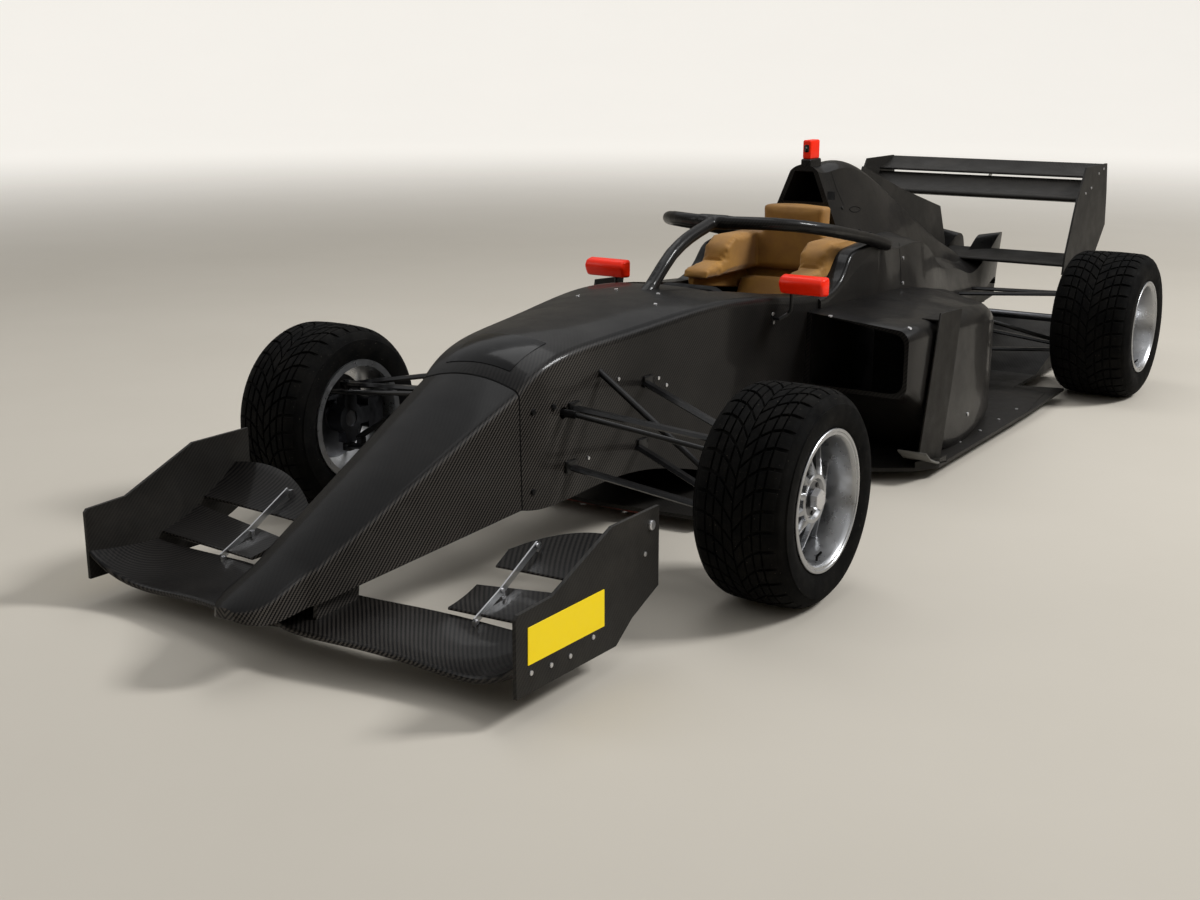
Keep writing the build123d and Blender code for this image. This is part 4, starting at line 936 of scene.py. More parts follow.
def rain_tyre(radius, width, pitches, depth, groove):
    """A rain tyre round the X axis: carcass with rounded walls, and rows of raised blocks in a V."""
    half = width / 2
    bead = half - RIM_EDGE - BEAD_SEAT
    wall = (0.182 + radius) / 2 - 0.006
    # outer half of the carcass, from the bead to the tread: columns: distance from the middle plane, radius
    outer = [
        (bead, 0.1655),
        (bead, 0.183),
        (bead + 0.0035, 0.187),
        (half - 0.006, 0.196),
        (half - 0.0025, 0.207),
        (half - 0.0008, wall - 0.010),
        (half, wall + 0.007),
        (half - 0.0012, wall + 0.018),
        (half - 0.005, radius - 0.036),
        (half - 0.0115, radius - 0.024),
        (half - 0.0185, radius - 0.0165),
        (half - 0.030, radius - 0.011 - depth * 0.35),
        (half - 0.050, radius - 0.004 - depth),
        (0.03, radius - 0.0005 - depth),
    ]
    section = [(x, 0, z) for x, z in outer] + [(-x, 0, z) for x, z in reversed(outer)]
    carcass = turned(section, 96, 1e-5, False)
    blocks = bmesh.new()
    for side in (1, -1):
        for row in TREAD_BLOCKS:
            tread_block(blocks, side, row, radius, half, depth, math.tau / pitches, groove / radius)
    return joined(repeated(outwards(blocks), pitches), carcass)


class CAR_OT_finishes(bpy.types.Operator):
    """Gives every carried-over CAD node its finish"""

    bl_idname = "racing_car.finishes"
    bl_label = "Finishes"

    def execute(self, context):
        made = make_finishes(context.scene.car_finish)
        FINISH_NAMES.update({key: material.name for key, material in made.items()})
        slots = {part["node"]: part["material_slot"] for part in frame["record"]["subparts"]}
        for name, node in NODES.items():
            node.data.materials.clear()
            node.data.materials.append(made[NODE_FINISH.get(name) or SLOT_FINISH[slots[name]]])
        return {"FINISHED"}


class CAR_OT_tyres(bpy.types.Operator):
    """Builds the four rain tyres with their block tread"""

    bl_idname = "racing_car.tyres"
    bl_label = "Rain tyres"

    def execute(self, context):
        tread = context.scene.car_tread
        for axle, hand, side, (outer, radius, width, row, more) in wheels():
            bm = rain_tyre(radius, width, round(tread.pitches * more), tread.depth, tread.groove)
            where = {"body": f"{axle}_wheel_{hand}", "node": f"{axle}_tyre_{hand}"}
            bm = at_wheel(bm, outer, width, radius, row, side)
            finished(f"{axle}_rain_tyre_{hand}", bm, "tyre", 40, **where)
        return {"FINISHED"}


# safety ring: radius of its tube, half width, where its front half circle is centred behind the front axle
RING_TUBE = 0.022
RING_HALF = 0.297
RING_CENTRE = 1.289
# rear ends of its two legs: columns: distance behind the front axle, height
RING_ENDS = [(1.72, 0.694), (1.66, 0.710), (1.60, 0.724)]
# middle line of its front pillar: columns: distance behind the front axle, height
RING_PILLAR = [(0.575, 0.640), (0.600, 0.655), (0.627, 0.675), (0.677, 0.713), (0.728, 0.747), (0.780, 0.770)]
RING_PILLAR += [(0.827, 0.786), (0.886, 0.801), (0.947, 0.814), (0.994, 0.823)]


def ring_height(distance):
    """Height of the safety ring's middle line, which falls towards the back."""
    return 0.804 - 0.18 * (distance - 1.167)


class CAR_OT_safety_ring(bpy.types.Operator):
    """Builds the round safety ring over the cockpit with its curved front pillar"""

    bl_idname = "racing_car.safety_ring"
    bl_label = "Safety ring"

    def execute(self, context):
        leg = RING_ENDS + [(distance, ring_height(distance)) for distance in (1.52, 1.44, 1.36)]
        line = [behind(RING_HALF, *place) for place in leg]
        for k in range(25):
            turn = math.pi * k / 24
            distance = RING_CENTRE - RING_HALF * math.sin(turn)
            dip = 0.012 * math.sin(turn) ** 6
            line.append(behind(RING_HALF * math.cos(turn), distance, ring_height(distance) - dip))
        line += [behind(-RING_HALF, *place) for place in reversed(leg)]
        pillar = [behind(0, *place) for place in RING_PILLAR]
        foot = [behind(0, 0.552, 0.630), behind(0, 0.600, 0.655)]
        # the arms of the joint swell where the pillar runs into them
        collar = [behind(side * 0.05, 0.994, 0.824) for side in (-1, 1)]
        tubes = ((line, 0), (pillar, 0), (foot, 0.003), (collar, 0.002))
        whole = joined(*[rod(points, RING_TUBE + more, corners=6) for points, more in tubes])
        dressed(melted("safety_ring", whole, 0.0055, 14), "gloss", node="halo")
        context.view_layer.update()
        return {"FINISHED"}


# outer edge of the cockpit's raised sides, from the photograph: distance behind the front axle and height
CREST = [(1.187, 0.574), (1.240, 0.582), (1.284, 0.591), (1.322, 0.604), (1.353, 0.620), (1.377, 0.640)]
CREST += [(1.397, 0.662), (1.416, 0.682), (1.440, 0.696), (1.475, 0.704), (1.540, 0.710), (1.614, 0.715)]
CREST += [(1.659, 0.717)]
# their lower end, and their inner and outer faces
CREST_LOW = 0.530
CREST_INNER = 0.236
CREST_OUTER = 0.297


class CAR_OT_cockpit_sides(bpy.types.Operator):
    """Builds the raised sides of the cockpit that sweep up beside the headrest"""

    bl_idname = "racing_car.cockpit_sides"
    bl_label = "Cockpit sides"

    def execute(self, context):
        bm = prism(CREST + [(CREST[-1][0], CREST_LOW), (CREST[0][0], CREST_LOW)], CREST_INNER, CREST_OUTER)
        edges = [e for e in bm.edges if all(v.co.x > 0.29 and v.co.z > 0.56 for v in e.verts)]
        soften(bm, edges, 0.014, 4)
        # the outer face leans in as it rises, and closes in towards the back
        for vert in bm.verts:
            if vert.co.x > 0.26:
                rise = max(vert.co.z - 0.575, 0.0)
                vert.co.x -= 0.05 * rise + 0.012 * max(vert.co.y - FRONT_AXLE - 1.40, 0.0)
        finished("swept_cockpit_sides", both_sides(bm), "gloss", 50, node="cockpit_sides")
        return {"FINISHED"}


# turned-up front corner of the floor: distance behind the front axle and height, and the same seen from below
LIP_TOP = [(1.180, 0.112), (1.225, 0.082), (1.285, 0.060), (1.370, 0.048)]
LIP_UNDER = [(distance, height - 0.008) for distance, height in reversed(LIP_TOP)]
# that corner, the leaning vane on it in front of each sidepod and the strap to the pod, as prism takes them:
# columns: outline, inner X, outer X, edge radius
FLOOR_LIP = (LIP_TOP + LIP_UNDER, 0.590, 0.690, 0.002)
VANE = (LIP_TOP + [(1.440, 0.299), (1.493, 0.536), (1.300, 0.546)], 0.660, 0.666, 0.0015)
VANE_STRAP = ([(1.330, 0.512), (1.450, 0.512), (1.450, 0.518), (1.330, 0.518)], 0.590, 0.662, 0.001)
# corner plate of the floor in front of each rear tyre: columns: X, distance behind the front axle
FLOOR_CORNER = [(0.690, 2.18), (0.690, 2.30), (0.678, 2.69), (0.500, 2.64), (0.500, 2.60), (0.640, 2.555)]
CORNER_LOW = 0.036
CORNER_THICK = 0.012


class CAR_OT_vanes(bpy.types.Operator):
    """Builds the leaning vanes, the turned-up corners of the floor and the plates before the rear tyres"""

    bl_idname = "racing_car.vanes"
    bl_label = "Vanes and floor corners"

    def execute(self, context):
        vanes = both_sides(prism(*VANE), prism(*VANE_STRAP))
        finished("leaning_vanes", vanes, "vane", node="floor_vanes")
        finished("turned_up_corners", both_sides(prism(*FLOOR_LIP)), "scuffed")
        outline = [behind(x, distance, CORNER_LOW) for x, distance in FLOOR_CORNER]
        finished("floor_corners", both_sides(slab(outline, (0, 0, CORNER_THICK), 0.002)), "satin")
        return {"FINISHED"}


# screws and bolts that show in the photo, the same on both sides of the car
BRACKET_PIXELS = [(563.8, 411.7), (618.6, 379), (650, 378), (658.5, 378), (666.5, 385), (588.4, 458)]
BRACKET_PIXELS += [(572.8, 465.2)]
ENDPLATE_PIXELS = [(531, 673), (551, 665), (570, 656), (593, 637), (645, 554)]
# columns: piece name, finish, head radius, CAD node, photo pixels
PHOTO_SCREWS = [
    ("nose_joint_screws", "black_bolt", 0.0085, "monocoque", [(533, 412), (553.6, 407), (533.3, 492)]),
    ("suspension_bracket_bolts", "zinc", 0.0055, "monocoque", BRACKET_PIXELS),
    ("front_endplate_bolts", "zinc", 0.0058, "front_wing_endplates", ENDPLATE_PIXELS),
    ("front_endplate_pivots", "zinc", 0.012, "front_wing_endplates", [(651, 525)]),
    ("mirror_stalk_bolts", "zinc", 0.006, "monocoque", [(772.6, 314.0), (773.4, 322.4)]),
    ("ring_foot_bolts", "zinc", 0.006, "monocoque", [(658.2, 293.8), (655.3, 304.3)]),
    ("cover_edge_screws", "zinc", 0.0065, "engine_cover", [(903.1, 257.9), (902.8, 283.0)]),
    ("airbox_screws", "black_bolt", 0.007, "engine_cover", [(829.6, 211), (841.9, 207.9)]),
    ("sidepod_screws", "zinc", 0.0075, "sidepod_left", [(909.5, 328.5), (967.4, 414), (830.4, 316.3)]),
]
# screws set by their place: the last two columns are the ray towards the surface and its starts, each as X,
# distance behind the front axle and height
ADJUSTER_BOLTS = [(0.6, -0.791, 0.114), (0.6, -0.694, 0.159), (0.6, -0.556, 0.229)]
REAR_PLATE_BOLTS = [(0.9, 3.36, 0.765), (0.9, 3.44, 0.783), (0.9, 3.54, 0.838), (0.9, 3.61, 0.855)]
FLOOR_SCREWS = [(0.64, distance, 0.4) for distance in (1.62, 1.82, 2.02, 2.22)]
PLANK_SCREWS = [(0.075, distance, -0.2) for distance in (0.35, 0.85, 1.35, 1.85, 2.35)]
RING_REAR_BOLTS = [(RING_HALF, distance, 1.0) for distance in (1.47, 1.56)]
PLACED_SCREWS = [
    ("adjuster_bolts", "zinc", 0.006, "flap_adjusters", (-1, 0, 0), ADJUSTER_BOLTS),
    ("rear_endplate_bolts", "zinc", 0.0055, "rear_wing_endplates", (-1, 0, 0), REAR_PLATE_BOLTS),
    ("floor_screws", "zinc", 0.006, "floor", (0, 0, -1), FLOOR_SCREWS),
    ("plank_screws", "zinc", 0.011, "skid_plank", (0, 0, 1), PLANK_SCREWS),
    ("ring_rear_bolts", "black_bolt", 0.007, "safety_ring", (0, 0, -1), RING_REAR_BOLTS),
]
SCREW_SINK = 0.0005


class CAR_OT_screws(bpy.types.Operator):
    """Sets the screws and bolts of the body, wings, floor and suspension"""

    bl_idname = "racing_car.screws"
    bl_label = "Screws and bolts"

    def execute(self, context):
        rows = [row[:3] + ([seen_at(x, y, row[3]) for x, y in row[4]],) for row in PHOTO_SCREWS]
        for *row, node, ray, starts in PLACED_SCREWS:
            rows.append((*row, [hit(node, behind(*start), ray) for start in starts]))
        for name, key, radius, places in rows:
            finished(name, stand_on(socket_screw(radius), mirrored(places), SCREW_SINK), key)
        return {"FINISHED"}


# joint between the nose and the tub, and the hatch behind it: distances behind the front axle
NOSE_JOINT = -0.290
HATCH_FRONT = -0.252
HATCH_REAR = -0.100
HATCH_HALF = 0.1045
BODY_MIDDLE = 0.35
# inner ends of the front wishbones: distance behind the front axle, height
PICKUPS = [(-0.080, 0.441), (0.246, 0.458), (-0.096, 0.284), (0.230, 0.278)]
# lines and patches of the body at photo pixels
OVAL_TURNS = [k * math.tau / 14 for k in range(14)]
OVAL_LATCH = [(854.9 + 5.4 * math.cos(turn), 209.4 + 2.8 * math.sin(turn)) for turn in OVAL_TURNS]
COVER_SEAM = [(831, 172), (836, 188), (843.4, 205)]
COVER_EDGE = [(899, 243), (900.5, 262), (901, 284)]
# the airbox port is a flat dark patch of painted shade for an opening
AIRBOX_PORT_SHADE = [(827.5, 199.5), (834.8, 199.8), (834.8, 191.8), (827.5, 191.5)]
YELLOW_PLATE = [(527.5, 666), (604, 626), (604, 589), (527.5, 628)]


class CAR_OT_body_details(bpy.types.Operator):
    """Adds the seams, hatch and plates of the bodywork, and dark patches of painted shade for its vents"""

    bl_idname = "racing_car.body_details"
    bl_label = "Seams, hatch and plates"

    def execute(self, context):
        def outer_skin(face):
            """Whether a face looks away from the body's middle line, and not to the front or back"""
            centre = face.calc_center_median()
            away = Vector((centre.x, 0, centre.z - BODY_MIDDLE))
            return abs(face.normal.y) < 0.8 and face.normal.dot(away) > 0

        joint = [(behind(0, NOSE_JOINT + 0.0035, 0), (0, 1, 0))]
        finished("nose_joint_gap", skin_patch("monocoque", joint, outer_skin, 0.0004, 0.0008), "dark")
        planes = [(behind(0, HATCH_REAR, 0), (0, 1, 0)), (behind(0, HATCH_FRONT, 0), (0, -1, 0))]
        planes += [(behind(side * HATCH_HALF, HATCH_FRONT, 0), (side, -0.045, 0)) for side in (1, -1)]
        hatch = skin_patch("monocoque", planes, lambda face: face.normal.z > 0.4, 0.0016, 0.0016)
        finished("access_hatch", hatch, "hatch")

        yellow = patch_on("front_wing_endplates", YELLOW_PLATE, 0.0012, 0.002)
        finished("blank_yellow_plates", both_sides(yellow), "sticker")
        seam = drawn_line("engine_cover", COVER_SEAM, 0.0012, sink=0.0004)
        latch = drawn_line("engine_cover", OVAL_LATCH, 0.0016, 1, True)
        edge = drawn_line("engine_cover", COVER_EDGE, 0.0014, sink=0.0005)
        finished("engine_cover_seams", both_sides(seam, latch, edge), "dark")
        pads = [hit("monocoque", behind(0.6, *place), (-1, 0, 0)) for place in PICKUPS]
        brackets = [placed(plate("suspension_bracket"), at - out * 0.002, out) for at, out in pads]
        finished("suspension_brackets", both_sides(*brackets), "arms")
        # a flat dark patch of painted shade where each airbox port opens
        port_shade = patch_on("engine_cover", AIRBOX_PORT_SHADE, 0.0008, 0.001)
        finished("airbox_ports", both_sides(port_shade), "dark")
        return {"FINISHED"}


# mirror shell: its middle, and its width, depth and height
MIRROR_MIDDLE = Vector((0.361, FRONT_AXLE + 0.915, 0.656))
MIRROR_SIZE = Vector((0.160, 0.050, 0.061))
# mirror stalk from the shell down: columns: X, distance behind the front axle, height; its foot in the photo
MIRROR_STALK = [(0.323, 0.915, 0.634), (0.323, 0.915, 0.585), (0.321, 0.914, 0.574), (0.314, 0.912, 0.565)]
STALK_FOOT = (773.0, 318.2)
# camera box and its foot between two corners, and the height of the lens
CAMERA_BOX = (behind(-0.016, 1.655, 0.985), behind(0.016, 1.731, 1.0515))
CAMERA_FOOT = (behind(-0.019, 1.648, 0.940), behind(0.019, 1.742, 0.9865))
LENS_HEIGHT = 1.022


def mirror_shell():
    """A mirror shell at the origin whose front bulges to a crease above its middle."""
    bm = bmesh.new()
    bmesh.ops.create_cube(bm, size=1.0)
    bmesh.ops.scale(bm, vec=MIRROR_SIZE, verts=bm.verts)
    cut(bm, (0, 0, 0.009), (0, 0, 1), True)
    for vert in bm.verts:
        if vert.co.y < 0:
            crease = abs(vert.co.z) < MIRROR_SIZE.z / 2 * 0.9
            vert.co.x *= 0.95 if crease else 0.9
            vert.co.y += -0.002 if crease else 0.013
            vert.co.z *= 1.0 if crease else 0.9
    soften(bm, bm.edges, 0.009, 4)
    return bm


class CAR_OT_camera_and_mirrors(bpy.types.Operator):
    """Builds the camera box with its lens and the mirrors with their stalks and glass"""

    bl_idname = "racing_car.camera_and_mirrors"
    bl_label = "Camera box and mirrors"

    def execute(self, context):
        finished("camera_shell", block(*CAMERA_BOX, 0.0065), "red", 60, node="camera_housing")
        finished("camera_foot", block(*CAMERA_FOOT, 0.007), "gloss")
        front = Vector((0, CAMERA_BOX[0].y, LENS_HEIGHT))
        window = placed(plate("lens_window"), front + Vector((0, 0.0004, 0)), (0, -1, 0))
        finished("camera_lens", joined(window, placed(knob(0.0075, 0.003), front, (0, -1, 0))), "screen")

        shell = mirror_shell()
        bmesh.ops.translate(shell, vec=MIRROR_MIDDLE, verts=shell.verts)
        finished("mirror_shells", both_sides(shell), "red", 60, node="mirrors")
        # the seal sits a little inside the shell's back, and the glass stands off it
        for name, kind, key, off in (
            ("mirror_seals", "mirror_seal", "dark", -0.0006),
            ("mirror_glasses", "mirror_glass", "glass", 0.0012),
        ):
            back = MIRROR_MIDDLE + Vector((0, MIRROR_SIZE.y / 2 + off, 0))
            finished(name, both_sides(placed(plate(kind), back, (0, 1, 0))), key)
        root, out = seen_at(*STALK_FOOT, "monocoque")
        line = [behind(*place) for place in MIRROR_STALK]
        line += [root + out * 0.016 + Vector((0.006, 0, 0)), root - out * 0.004]
        tab = placed(plate("stalk_tab"), root - out * 0.0015, out)
        finished("mirror_stalks", both_sides(rod(line, 0.0055), tab), "arms")
        return {"FINISHED"}


# what is cut off the headrest's front, where a low lip runs ahead of the tall pads: distance and height
HEADREST_STEP = [(1.150, 0.6275), (1.200, 0.6275), (1.325, 0.645), (1.345, 0.700), (1.398, 0.7292)]
HEADREST_STEP += [(1.398, 0.80), (1.15, 0.80)]
# padded pieces: columns: piece name, CAD node, rounding passes, how full the padding is
PADS = [("padded_headrest", "headrest", 7, 0.8), ("padded_seat", "seat", 6, 0.7)]
# trim panels behind the seat and along its sides: columns: outline, inner X, outer X, edge radius
BACK_PANEL = ([(1.585, 0.490), (1.617, 0.490), (1.617, 0.618), (1.600, 0.618)], -0.205, 0.205, 0.004)
SIDE_PANEL = ([(1.215, 0.570), (1.600, 0.520), (1.600, 0.606), (1.215, 0.606)], 0.196, 0.222, 0.004)
# controls: X of the three knobs, X and heights of the buttons on each side, and X of the paddles
KNOB_X = (-0.034, 0, 0.034)
BUTTON_X = 0.060
BUTTON_Y = (0.036, 0.014, -0.008)
PADDLE_X = 0.085
# steering wheel: its tilt and the middle of its face
WHEEL_TILT = math.radians(20)
WHEEL_FACE = Vector((0, math.cos(WHEEL_TILT), math.sin(WHEEL_TILT)))
WHEEL_UP = Vector((0, -math.sin(WHEEL_TILT), math.cos(WHEEL_TILT)))
WHEEL_MIDDLE = behind(0, 0.85, 0.56) + WHEEL_FACE * 0.015


def on_wheel(bm, x, y, lift=0.0):
    """Stands a bmesh on the steering wheel's face, across and up from its middle."""
    right = WHEEL_UP.cross(WHEEL_FACE)
    return placed(bm, WHEEL_MIDDLE + right * x + WHEEL_UP * y + WHEEL_FACE * lift, WHEEL_FACE, WHEEL_UP)


class CAR_OT_cockpit(bpy.types.Operator):
    """Builds the padded headrest and seat, and the controls on the steering wheel"""

    bl_idname = "racing_car.cockpit"
    bl_label = "Cockpit"

    def execute(self, context):
        for name, node, rounding, fill in PADS:
            cutter = prism(HEADREST_STEP, -0.3, 0.3) if node == "headrest" else None
            pad = dressed(soft_pad(name, node, rounding, cutter), "foam")
            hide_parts(node)

        panels = joined(prism(*BACK_PANEL), both_sides(prism(*SIDE_PANEL)))
        finished("lower_trim_panels", panels, "foam")

        knobs = [on_wheel(knob(0.010, 0.010), x, -0.030, 0.003) for x in KNOB_X]
        spots = [(side * BUTTON_X, y) for side in (1, -1) for y in BUTTON_Y]
        buttons = [on_wheel(knob(0.0065, 0.006, 16), x, y, 0.003) for x, y in spots]
        paddles = [on_wheel(plate("shift_paddle"), side * PADDLE_X, 0.004, -0.042) for side in (1, -1)]
        for name, key, bm in (
            ("steering_face_plate", "satin", on_wheel(plate("steering_face"), 0, 0)),
            ("steering_screen", "screen", on_wheel(plate("steering_screen"), 0, 0.018, 0.003)),
            ("steering_knobs", "grip", joined(*knobs)),
            ("steering_buttons", "button", joined(*buttons)),
            ("shift_paddles", "satin", joined(*paddles)),
        ):
            finished(name, bm, key, slot="grip_black", body="steering_wheel")
        return {"FINISHED"}


# rim: how deep its centre lies behind its outer edge for each axle, radii of the centre disc and the barrel
RIM_DEPTH = {"front": 0.040, "rear": 0.080}
DISC_RADIUS = 0.064
BARREL_RADIUS = 0.1595
SPOKES = 10
# one spoke seen from outside, from its broad root to its foot on the barrel: columns: half width, radius
SPOKE = [(0.015, DISC_RADIUS - 0.004), (0.0062, 0.085), (0.0048, 0.110), (0.0052, 0.140)]
SPOKE += [(0.0085, BARREL_RADIUS + 0.002)]
SPOKE_DEPTH = 0.014
# how far its foot stands further in than its root
SPOKE_LEAN = 0.037
PEGS = 5
PEG_CIRCLE = 0.0375
# wheel nut, as stud takes it: radius, height, sides, rounding, wall, depth of the bore
WHEEL_NUT = (0.0285, 0.019, 6, 0.00342, 0.00851, 0.0133)


def rim(half, depth):
    """A wheel rim round the X axis, outer side +X: stepped lip, barrel, centre disc and tapering spokes."""
    edge = half - RIM_EDGE
    bead = edge - BEAD_SEAT
    section = [(bead, 0.165), (bead, 0.1815), (bead + 0.002, 0.1825), (edge - 0.0015, 0.1825), (edge, 0.181)]
    section += [(edge, 0.1745), (edge - 0.0025, 0.1725), (edge - 0.0025, 0.1665), (edge - 0.006, 0.1635)]
    section += [(edge - 0.013, BARREL_RADIUS), (-edge + 0.012, BARREL_RADIUS), (-edge, 0.163), (-edge, 0.182)]
    section += [(-bead, 0.182), (-bead, 0.165)]
    face = edge - depth
    disc = [(face - 0.007, 0.0215), (face - 0.007, 0.047), (face + 0.001, 0.052)]
    disc += [(face + 0.002, DISC_RADIUS - 0.003), (face, DISC_RADIUS)]
    disc += [(face - 0.013, DISC_RADIUS), (face - 0.013, 0.0215)]
    barrel, centre = [turned([(x, 0, r) for x, r in line], n) for line, n in ((section, 96), (disc, 64))]
    outline = SPOKE + [(-y, r) for y, r in reversed(SPOKE)]
    spoke = slab([(0, y, r) for y, r in outline], (SPOKE_DEPTH, 0, 0))
    for vert in spoke.verts:
        share = (vert.co.z - DISC_RADIUS) / (BARREL_RADIUS - DISC_RADIUS)
        if vert.co.x > SPOKE_DEPTH / 2:
            vert.co.y *= 0.62
        vert.co.x += face - 0.013 - SPOKE_LEAN * share
    soften(spoke, spoke.edges, 0.0012, 1)
    return joined(barrel, centre, repeated(spoke, SPOKES))


class CAR_OT_rims(bpy.types.Operator):
    """Builds the four polished rims with their stepped lips and tapering spokes"""

    bl_idname = "racing_car.rims"
    bl_label = "Rims"

    def execute(self, context):
        for axle, hand, side, (outer, radius, width, row, _) in wheels():
            bm = at_wheel(rim(width / 2, RIM_DEPTH[axle]), outer, width, radius, row, side)
            where = {"body": f"{axle}_wheel_{hand}", "node": f"{axle}_rim_{hand}"}
            finished(f"{axle}_spoked_rim_{hand}", bm, "rim", **where)
        return {"FINISHED"}


class CAR_OT_wheel_fittings(bpy.types.Operator):
    """Adds the centre nut, drive pegs and valve of each wheel"""

    bl_idname = "racing_car.wheel_fittings"
    bl_label = "Wheel nuts and valves"

    def execute(self, context):
        for axle, hand, side, (outer, radius, _, row, _) in wheels():
            hub = Vector((side * (outer - RIM_EDGE - RIM_DEPTH[axle]), row, radius))
            out = Vector((side, 0, 0))
            turns = [math.tau * (k + 0.5) / PEGS for k in range(PEGS)]
            ways = [Vector((0, -math.sin(turn), math.cos(turn))) for turn in turns]
            pegs = [(hub - out * 0.007 + way * PEG_CIRCLE, out) for way in ways]
            foot = Vector((side * (outer - 0.034), row, radius - 0.1605))
            bend = [foot, foot + Vector((0, 0, 0.012)), foot + Vector((side * 0.012, 0, 0.026))]
            nut = placed(stud(*WHEEL_NUT), hub, out)
            for name, bm, key, slot in (
                ("wheel_nut", nut, "zinc", "hub_metal"),
                ("drive_pegs", stand_on(socket_screw(0.0068), pegs, 0.0003), "black_bolt", "hub_metal"),
                ("valve", rod(bend, 0.0032), "grip", "rim_metal"),
            ):
                finished(f"{axle}_{name}_{hand}", bm, key, slot=slot, body=f"{axle}_wheel_{hand}")
        return {"FINISHED"}


# bracket in the middle of the rear wing: distance behind the front axle and height
WING_BRACKET = [(3.400, 0.724), (3.412, 0.740), (3.560, 0.790), (3.645, 0.852), (3.656, 0.842)]
WING_BRACKET += [(3.585, 0.770), (3.440, 0.722)]
BRACKET_HALF = 0.002
LAMP_COLUMNS = 4
LAMP_ROWS = 3


class CAR_OT_rear_details(bpy.types.Operator):
    """Adds the middle bracket of the rear wing and the lamps of the rain light"""

    bl_idname = "racing_car.rear_details"
    bl_label = "Rear details"

    def execute(self, context):
        bracket = prism(WING_BRACKET, -BRACKET_HALF, BRACKET_HALF, 0.0006)
        finished("wing_centre_bracket", bracket, "machined", slot="carbon_satin")
        low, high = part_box("rain_light")
        wide = (high.x - low.x) / LAMP_COLUMNS
        tall = (high.z - low.z) / LAMP_ROWS
        lamps = []
        for column in range(LAMP_COLUMNS):
            for row in range(LAMP_ROWS):
                place = Vector((low.x + wide * (column + 0.5), high.y, low.z + tall * (row + 0.5)))
                lamps.append((place, Vector((0, 1, 0))))
        lamp = knob(min(wide, tall) * 0.38, 0.004, 14)
        finished("rain_light_lamps", stand_on(lamp, lamps, 0.0002), "lamp")
        return {"FINISHED"}


# flat part of the floor, how far the backdrop reaches out, and its height
STAGE_FLAT = 20.0
STAGE_REACH = 34.0
STAGE_HEIGHT = 16.0
# softboxes, which look at the car's middle: columns: name, place, size across and along, watts
SOFTBOXES = [
    ("sun_side_softbox", (7.7, 4.2, 8.3), 2.6, 2.6, 1120),
    ("top_softbox", (-0.6, 0.3, 5.0), 2.0, 5.0, 60),
    ("fill_softbox", (-4.5, -4.0, 3.4), 3.0, 3.0, 40),
]
CAR_MIDDLE = Vector((0, 0, 0.4))


def swept_floor():
    """A round floor whose rim sweeps up into a backdrop on all sides."""
    line = [(0.0, 0, 0.0), (STAGE_FLAT, 0, 0.0)]
    for k in range(1, 13):
        turn = math.pi / 2 * k / 12
        out = STAGE_FLAT + (STAGE_REACH - STAGE_FLAT) * math.sin(turn)
        line.append((out, 0, STAGE_HEIGHT * (1 - math.cos(turn))))
    bm = turned(line, 96, 1e-4, False, (0, 0, 1))
    if min(bm.faces, key=lambda face: face.calc_center_median().length).normal.z < 0:
        bmesh.ops.reverse_faces(bm, faces=bm.faces)
    return bm


def matt_floor(colour):
    """Matt painted studio floor, slightly cloudy; it turns pale far out, for the camera alone."""
    material, tree, shader = start_material("pale matt floor")
    base = patched(tree, linear(colour), "b7b1a5", 0.8, 0.3, 0.7, 0.0, 0.25)
    place = add(tree, COORDINATES, output="Object")
    distance = add(tree, "ShaderNodeVectorMath", {0: place}, 1, operation="LENGTH")
    limits = {"Value": distance, "From Min": 5.0, "From Max": 18.0, "To Max": 0.75}
    far = add(tree, RANGE, limits, interpolation_type="SMOOTHSTEP")
    seen = add(tree, "ShaderNodeLightPath", output="Is Camera Ray")
    glow = add(tree, MATH, {0: far, 1: seen}, operation="MULTIPLY")
    fixed = {"Roughness": 0.7, "Specular IOR Level": 0.2, "Emission Color": linear("f4f2ee")}
    feed(tree, shader, fixed, base_color=base, emission_strength=glow)
    return material


def studio_world(strength):
    """Plain white world: bright to the camera and through glass, half as bright in gloss, soft as a light."""
    world = bpy.data.worlds.new("studio")
    world.use_nodes = True
    tree = world.node_tree
    tree.nodes.clear()
    rays = tree.nodes.new("ShaderNodeLightPath").outputs
    seen = {0: rays["Is Camera Ray"], 1: rays["Is Transmission Ray"]}
    shine = add(tree, MATH, {0: rays["Is Glossy Ray"], 1: 0.5}, operation="MULTIPLY")
    seen = add(tree, MATH, {0: add(tree, MATH, seen, operation="MAXIMUM"), 1: shine}, operation="MAXIMUM")
    level = add(tree, RANGE, {"Value": seen, "To Min": strength, "To Max": 1.0})
    light = add(tree, "ShaderNodeBackground", {0: linear("ffffff"), 1: level})
    add(tree, "ShaderNodeOutputWorld", {0: light})
    return world


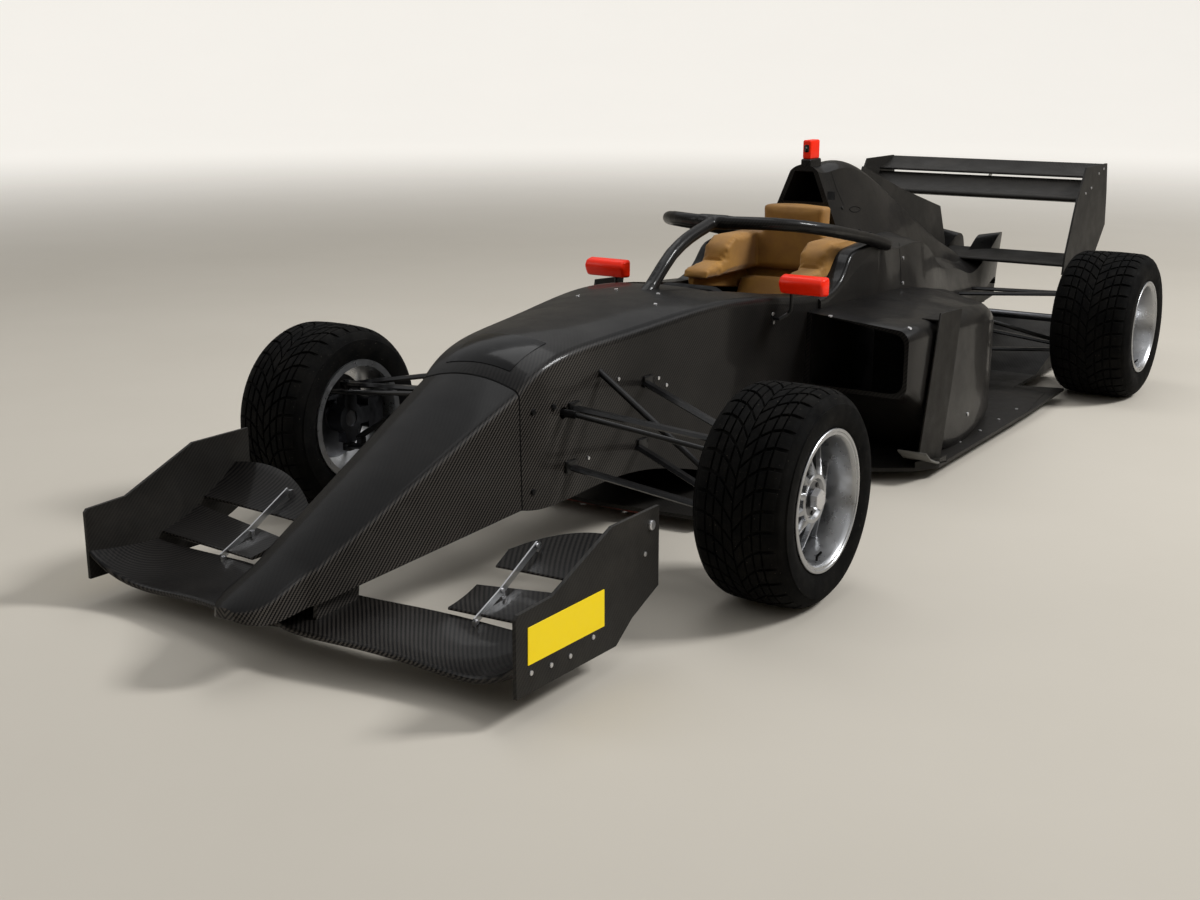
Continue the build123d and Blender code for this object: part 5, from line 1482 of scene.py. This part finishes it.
class CAR_OT_stage(bpy.types.Operator):
    """Sets the floor, the soft lights and the camera at the photograph's viewing angle"""

    bl_idname = "racing_car.stage"
    bl_label = "Stage"

    def execute(self, context):
        stage = context.scene.car_stage
        floor = new_object("pale_floor", mesh_of("pale_floor", swept_floor()))
        floor.data.shade_smooth()
        floor.data.materials.append(matt_floor(stage.floor))
        context.scene.world = studio_world(stage.world)

        for name, place, across, along, watts in SOFTBOXES:
            data = bpy.data.lights.new(name, "AREA")
            data.shape = "RECTANGLE"
            data.size = across
            data.size_y = along
            data.energy = watts
            lamp = new_object(name, data)
            lamp.location = place
            lamp.rotation_euler = (CAR_MIDDLE - Vector(place)).to_track_quat("-Z", "Y").to_euler()

        right, up, forward = camera_axes()
        data = bpy.data.cameras.new("photo_camera")
        data.sensor_width = 36.0
        data.lens = stage.lens
        camera = new_object("photo_camera", data)
        turn = Matrix((right, up, -forward)).transposed().to_4x4()
        camera.matrix_world = Matrix.Translation(CAMERA_AT) @ turn
        context.scene.camera = camera
        context.scene.view_settings.view_transform = "Standard"
        return {"FINISHED"}


PROPERTY_GROUPS = {"car_finish": CarFinish, "car_tread": CarTread, "car_stage": CarStage}
OPERATORS = [
    CAR_OT_finishes,
    CAR_OT_stage,
    CAR_OT_tyres,
    CAR_OT_safety_ring,
    CAR_OT_cockpit_sides,
    CAR_OT_vanes,
    CAR_OT_screws,
    CAR_OT_body_details,
    CAR_OT_camera_and_mirrors,
    CAR_OT_cockpit,
    CAR_OT_rims,
    CAR_OT_wheel_fittings,
    CAR_OT_rear_details,
]


class CAR_PT_panel(bpy.types.Panel):
    """Buttons for each group of pieces, and the sizes and colours they take"""

    bl_label = "Racing car"
    bl_idname = "CAR_PT_panel"
    bl_space_type = "VIEW_3D"
    bl_region_type = "UI"
    bl_category = "Racing car"

    def draw(self, context):
        for group in PROPERTY_GROUPS:
            settings = getattr(context.scene, group)
            for name in settings.bl_rna.properties.keys():
                if name not in ("rna_type", "name"):
                    self.layout.prop(settings, name)
        for operator in OPERATORS:
            self.layout.operator(operator.bl_idname)


def register():
    for name, group in PROPERTY_GROUPS.items():
        bpy.utils.register_class(group)
        setattr(bpy.types.Scene, name, bpy.props.PointerProperty(type=group))
    for operator in OPERATORS:
        bpy.utils.register_class(operator)
    bpy.utils.register_class(CAR_PT_panel)


def unregister():
    bpy.utils.unregister_class(CAR_PT_panel)
    for operator in reversed(OPERATORS):
        bpy.utils.unregister_class(operator)
    for name, group in PROPERTY_GROUPS.items():
        delattr(bpy.types.Scene, name)
        bpy.utils.unregister_class(group)


def main():
    register()
    for operator in OPERATORS:
        group, name = operator.bl_idname.split(".")
        getattr(getattr(bpy.ops, group), name)()


if __name__ == "__main__":
    main()
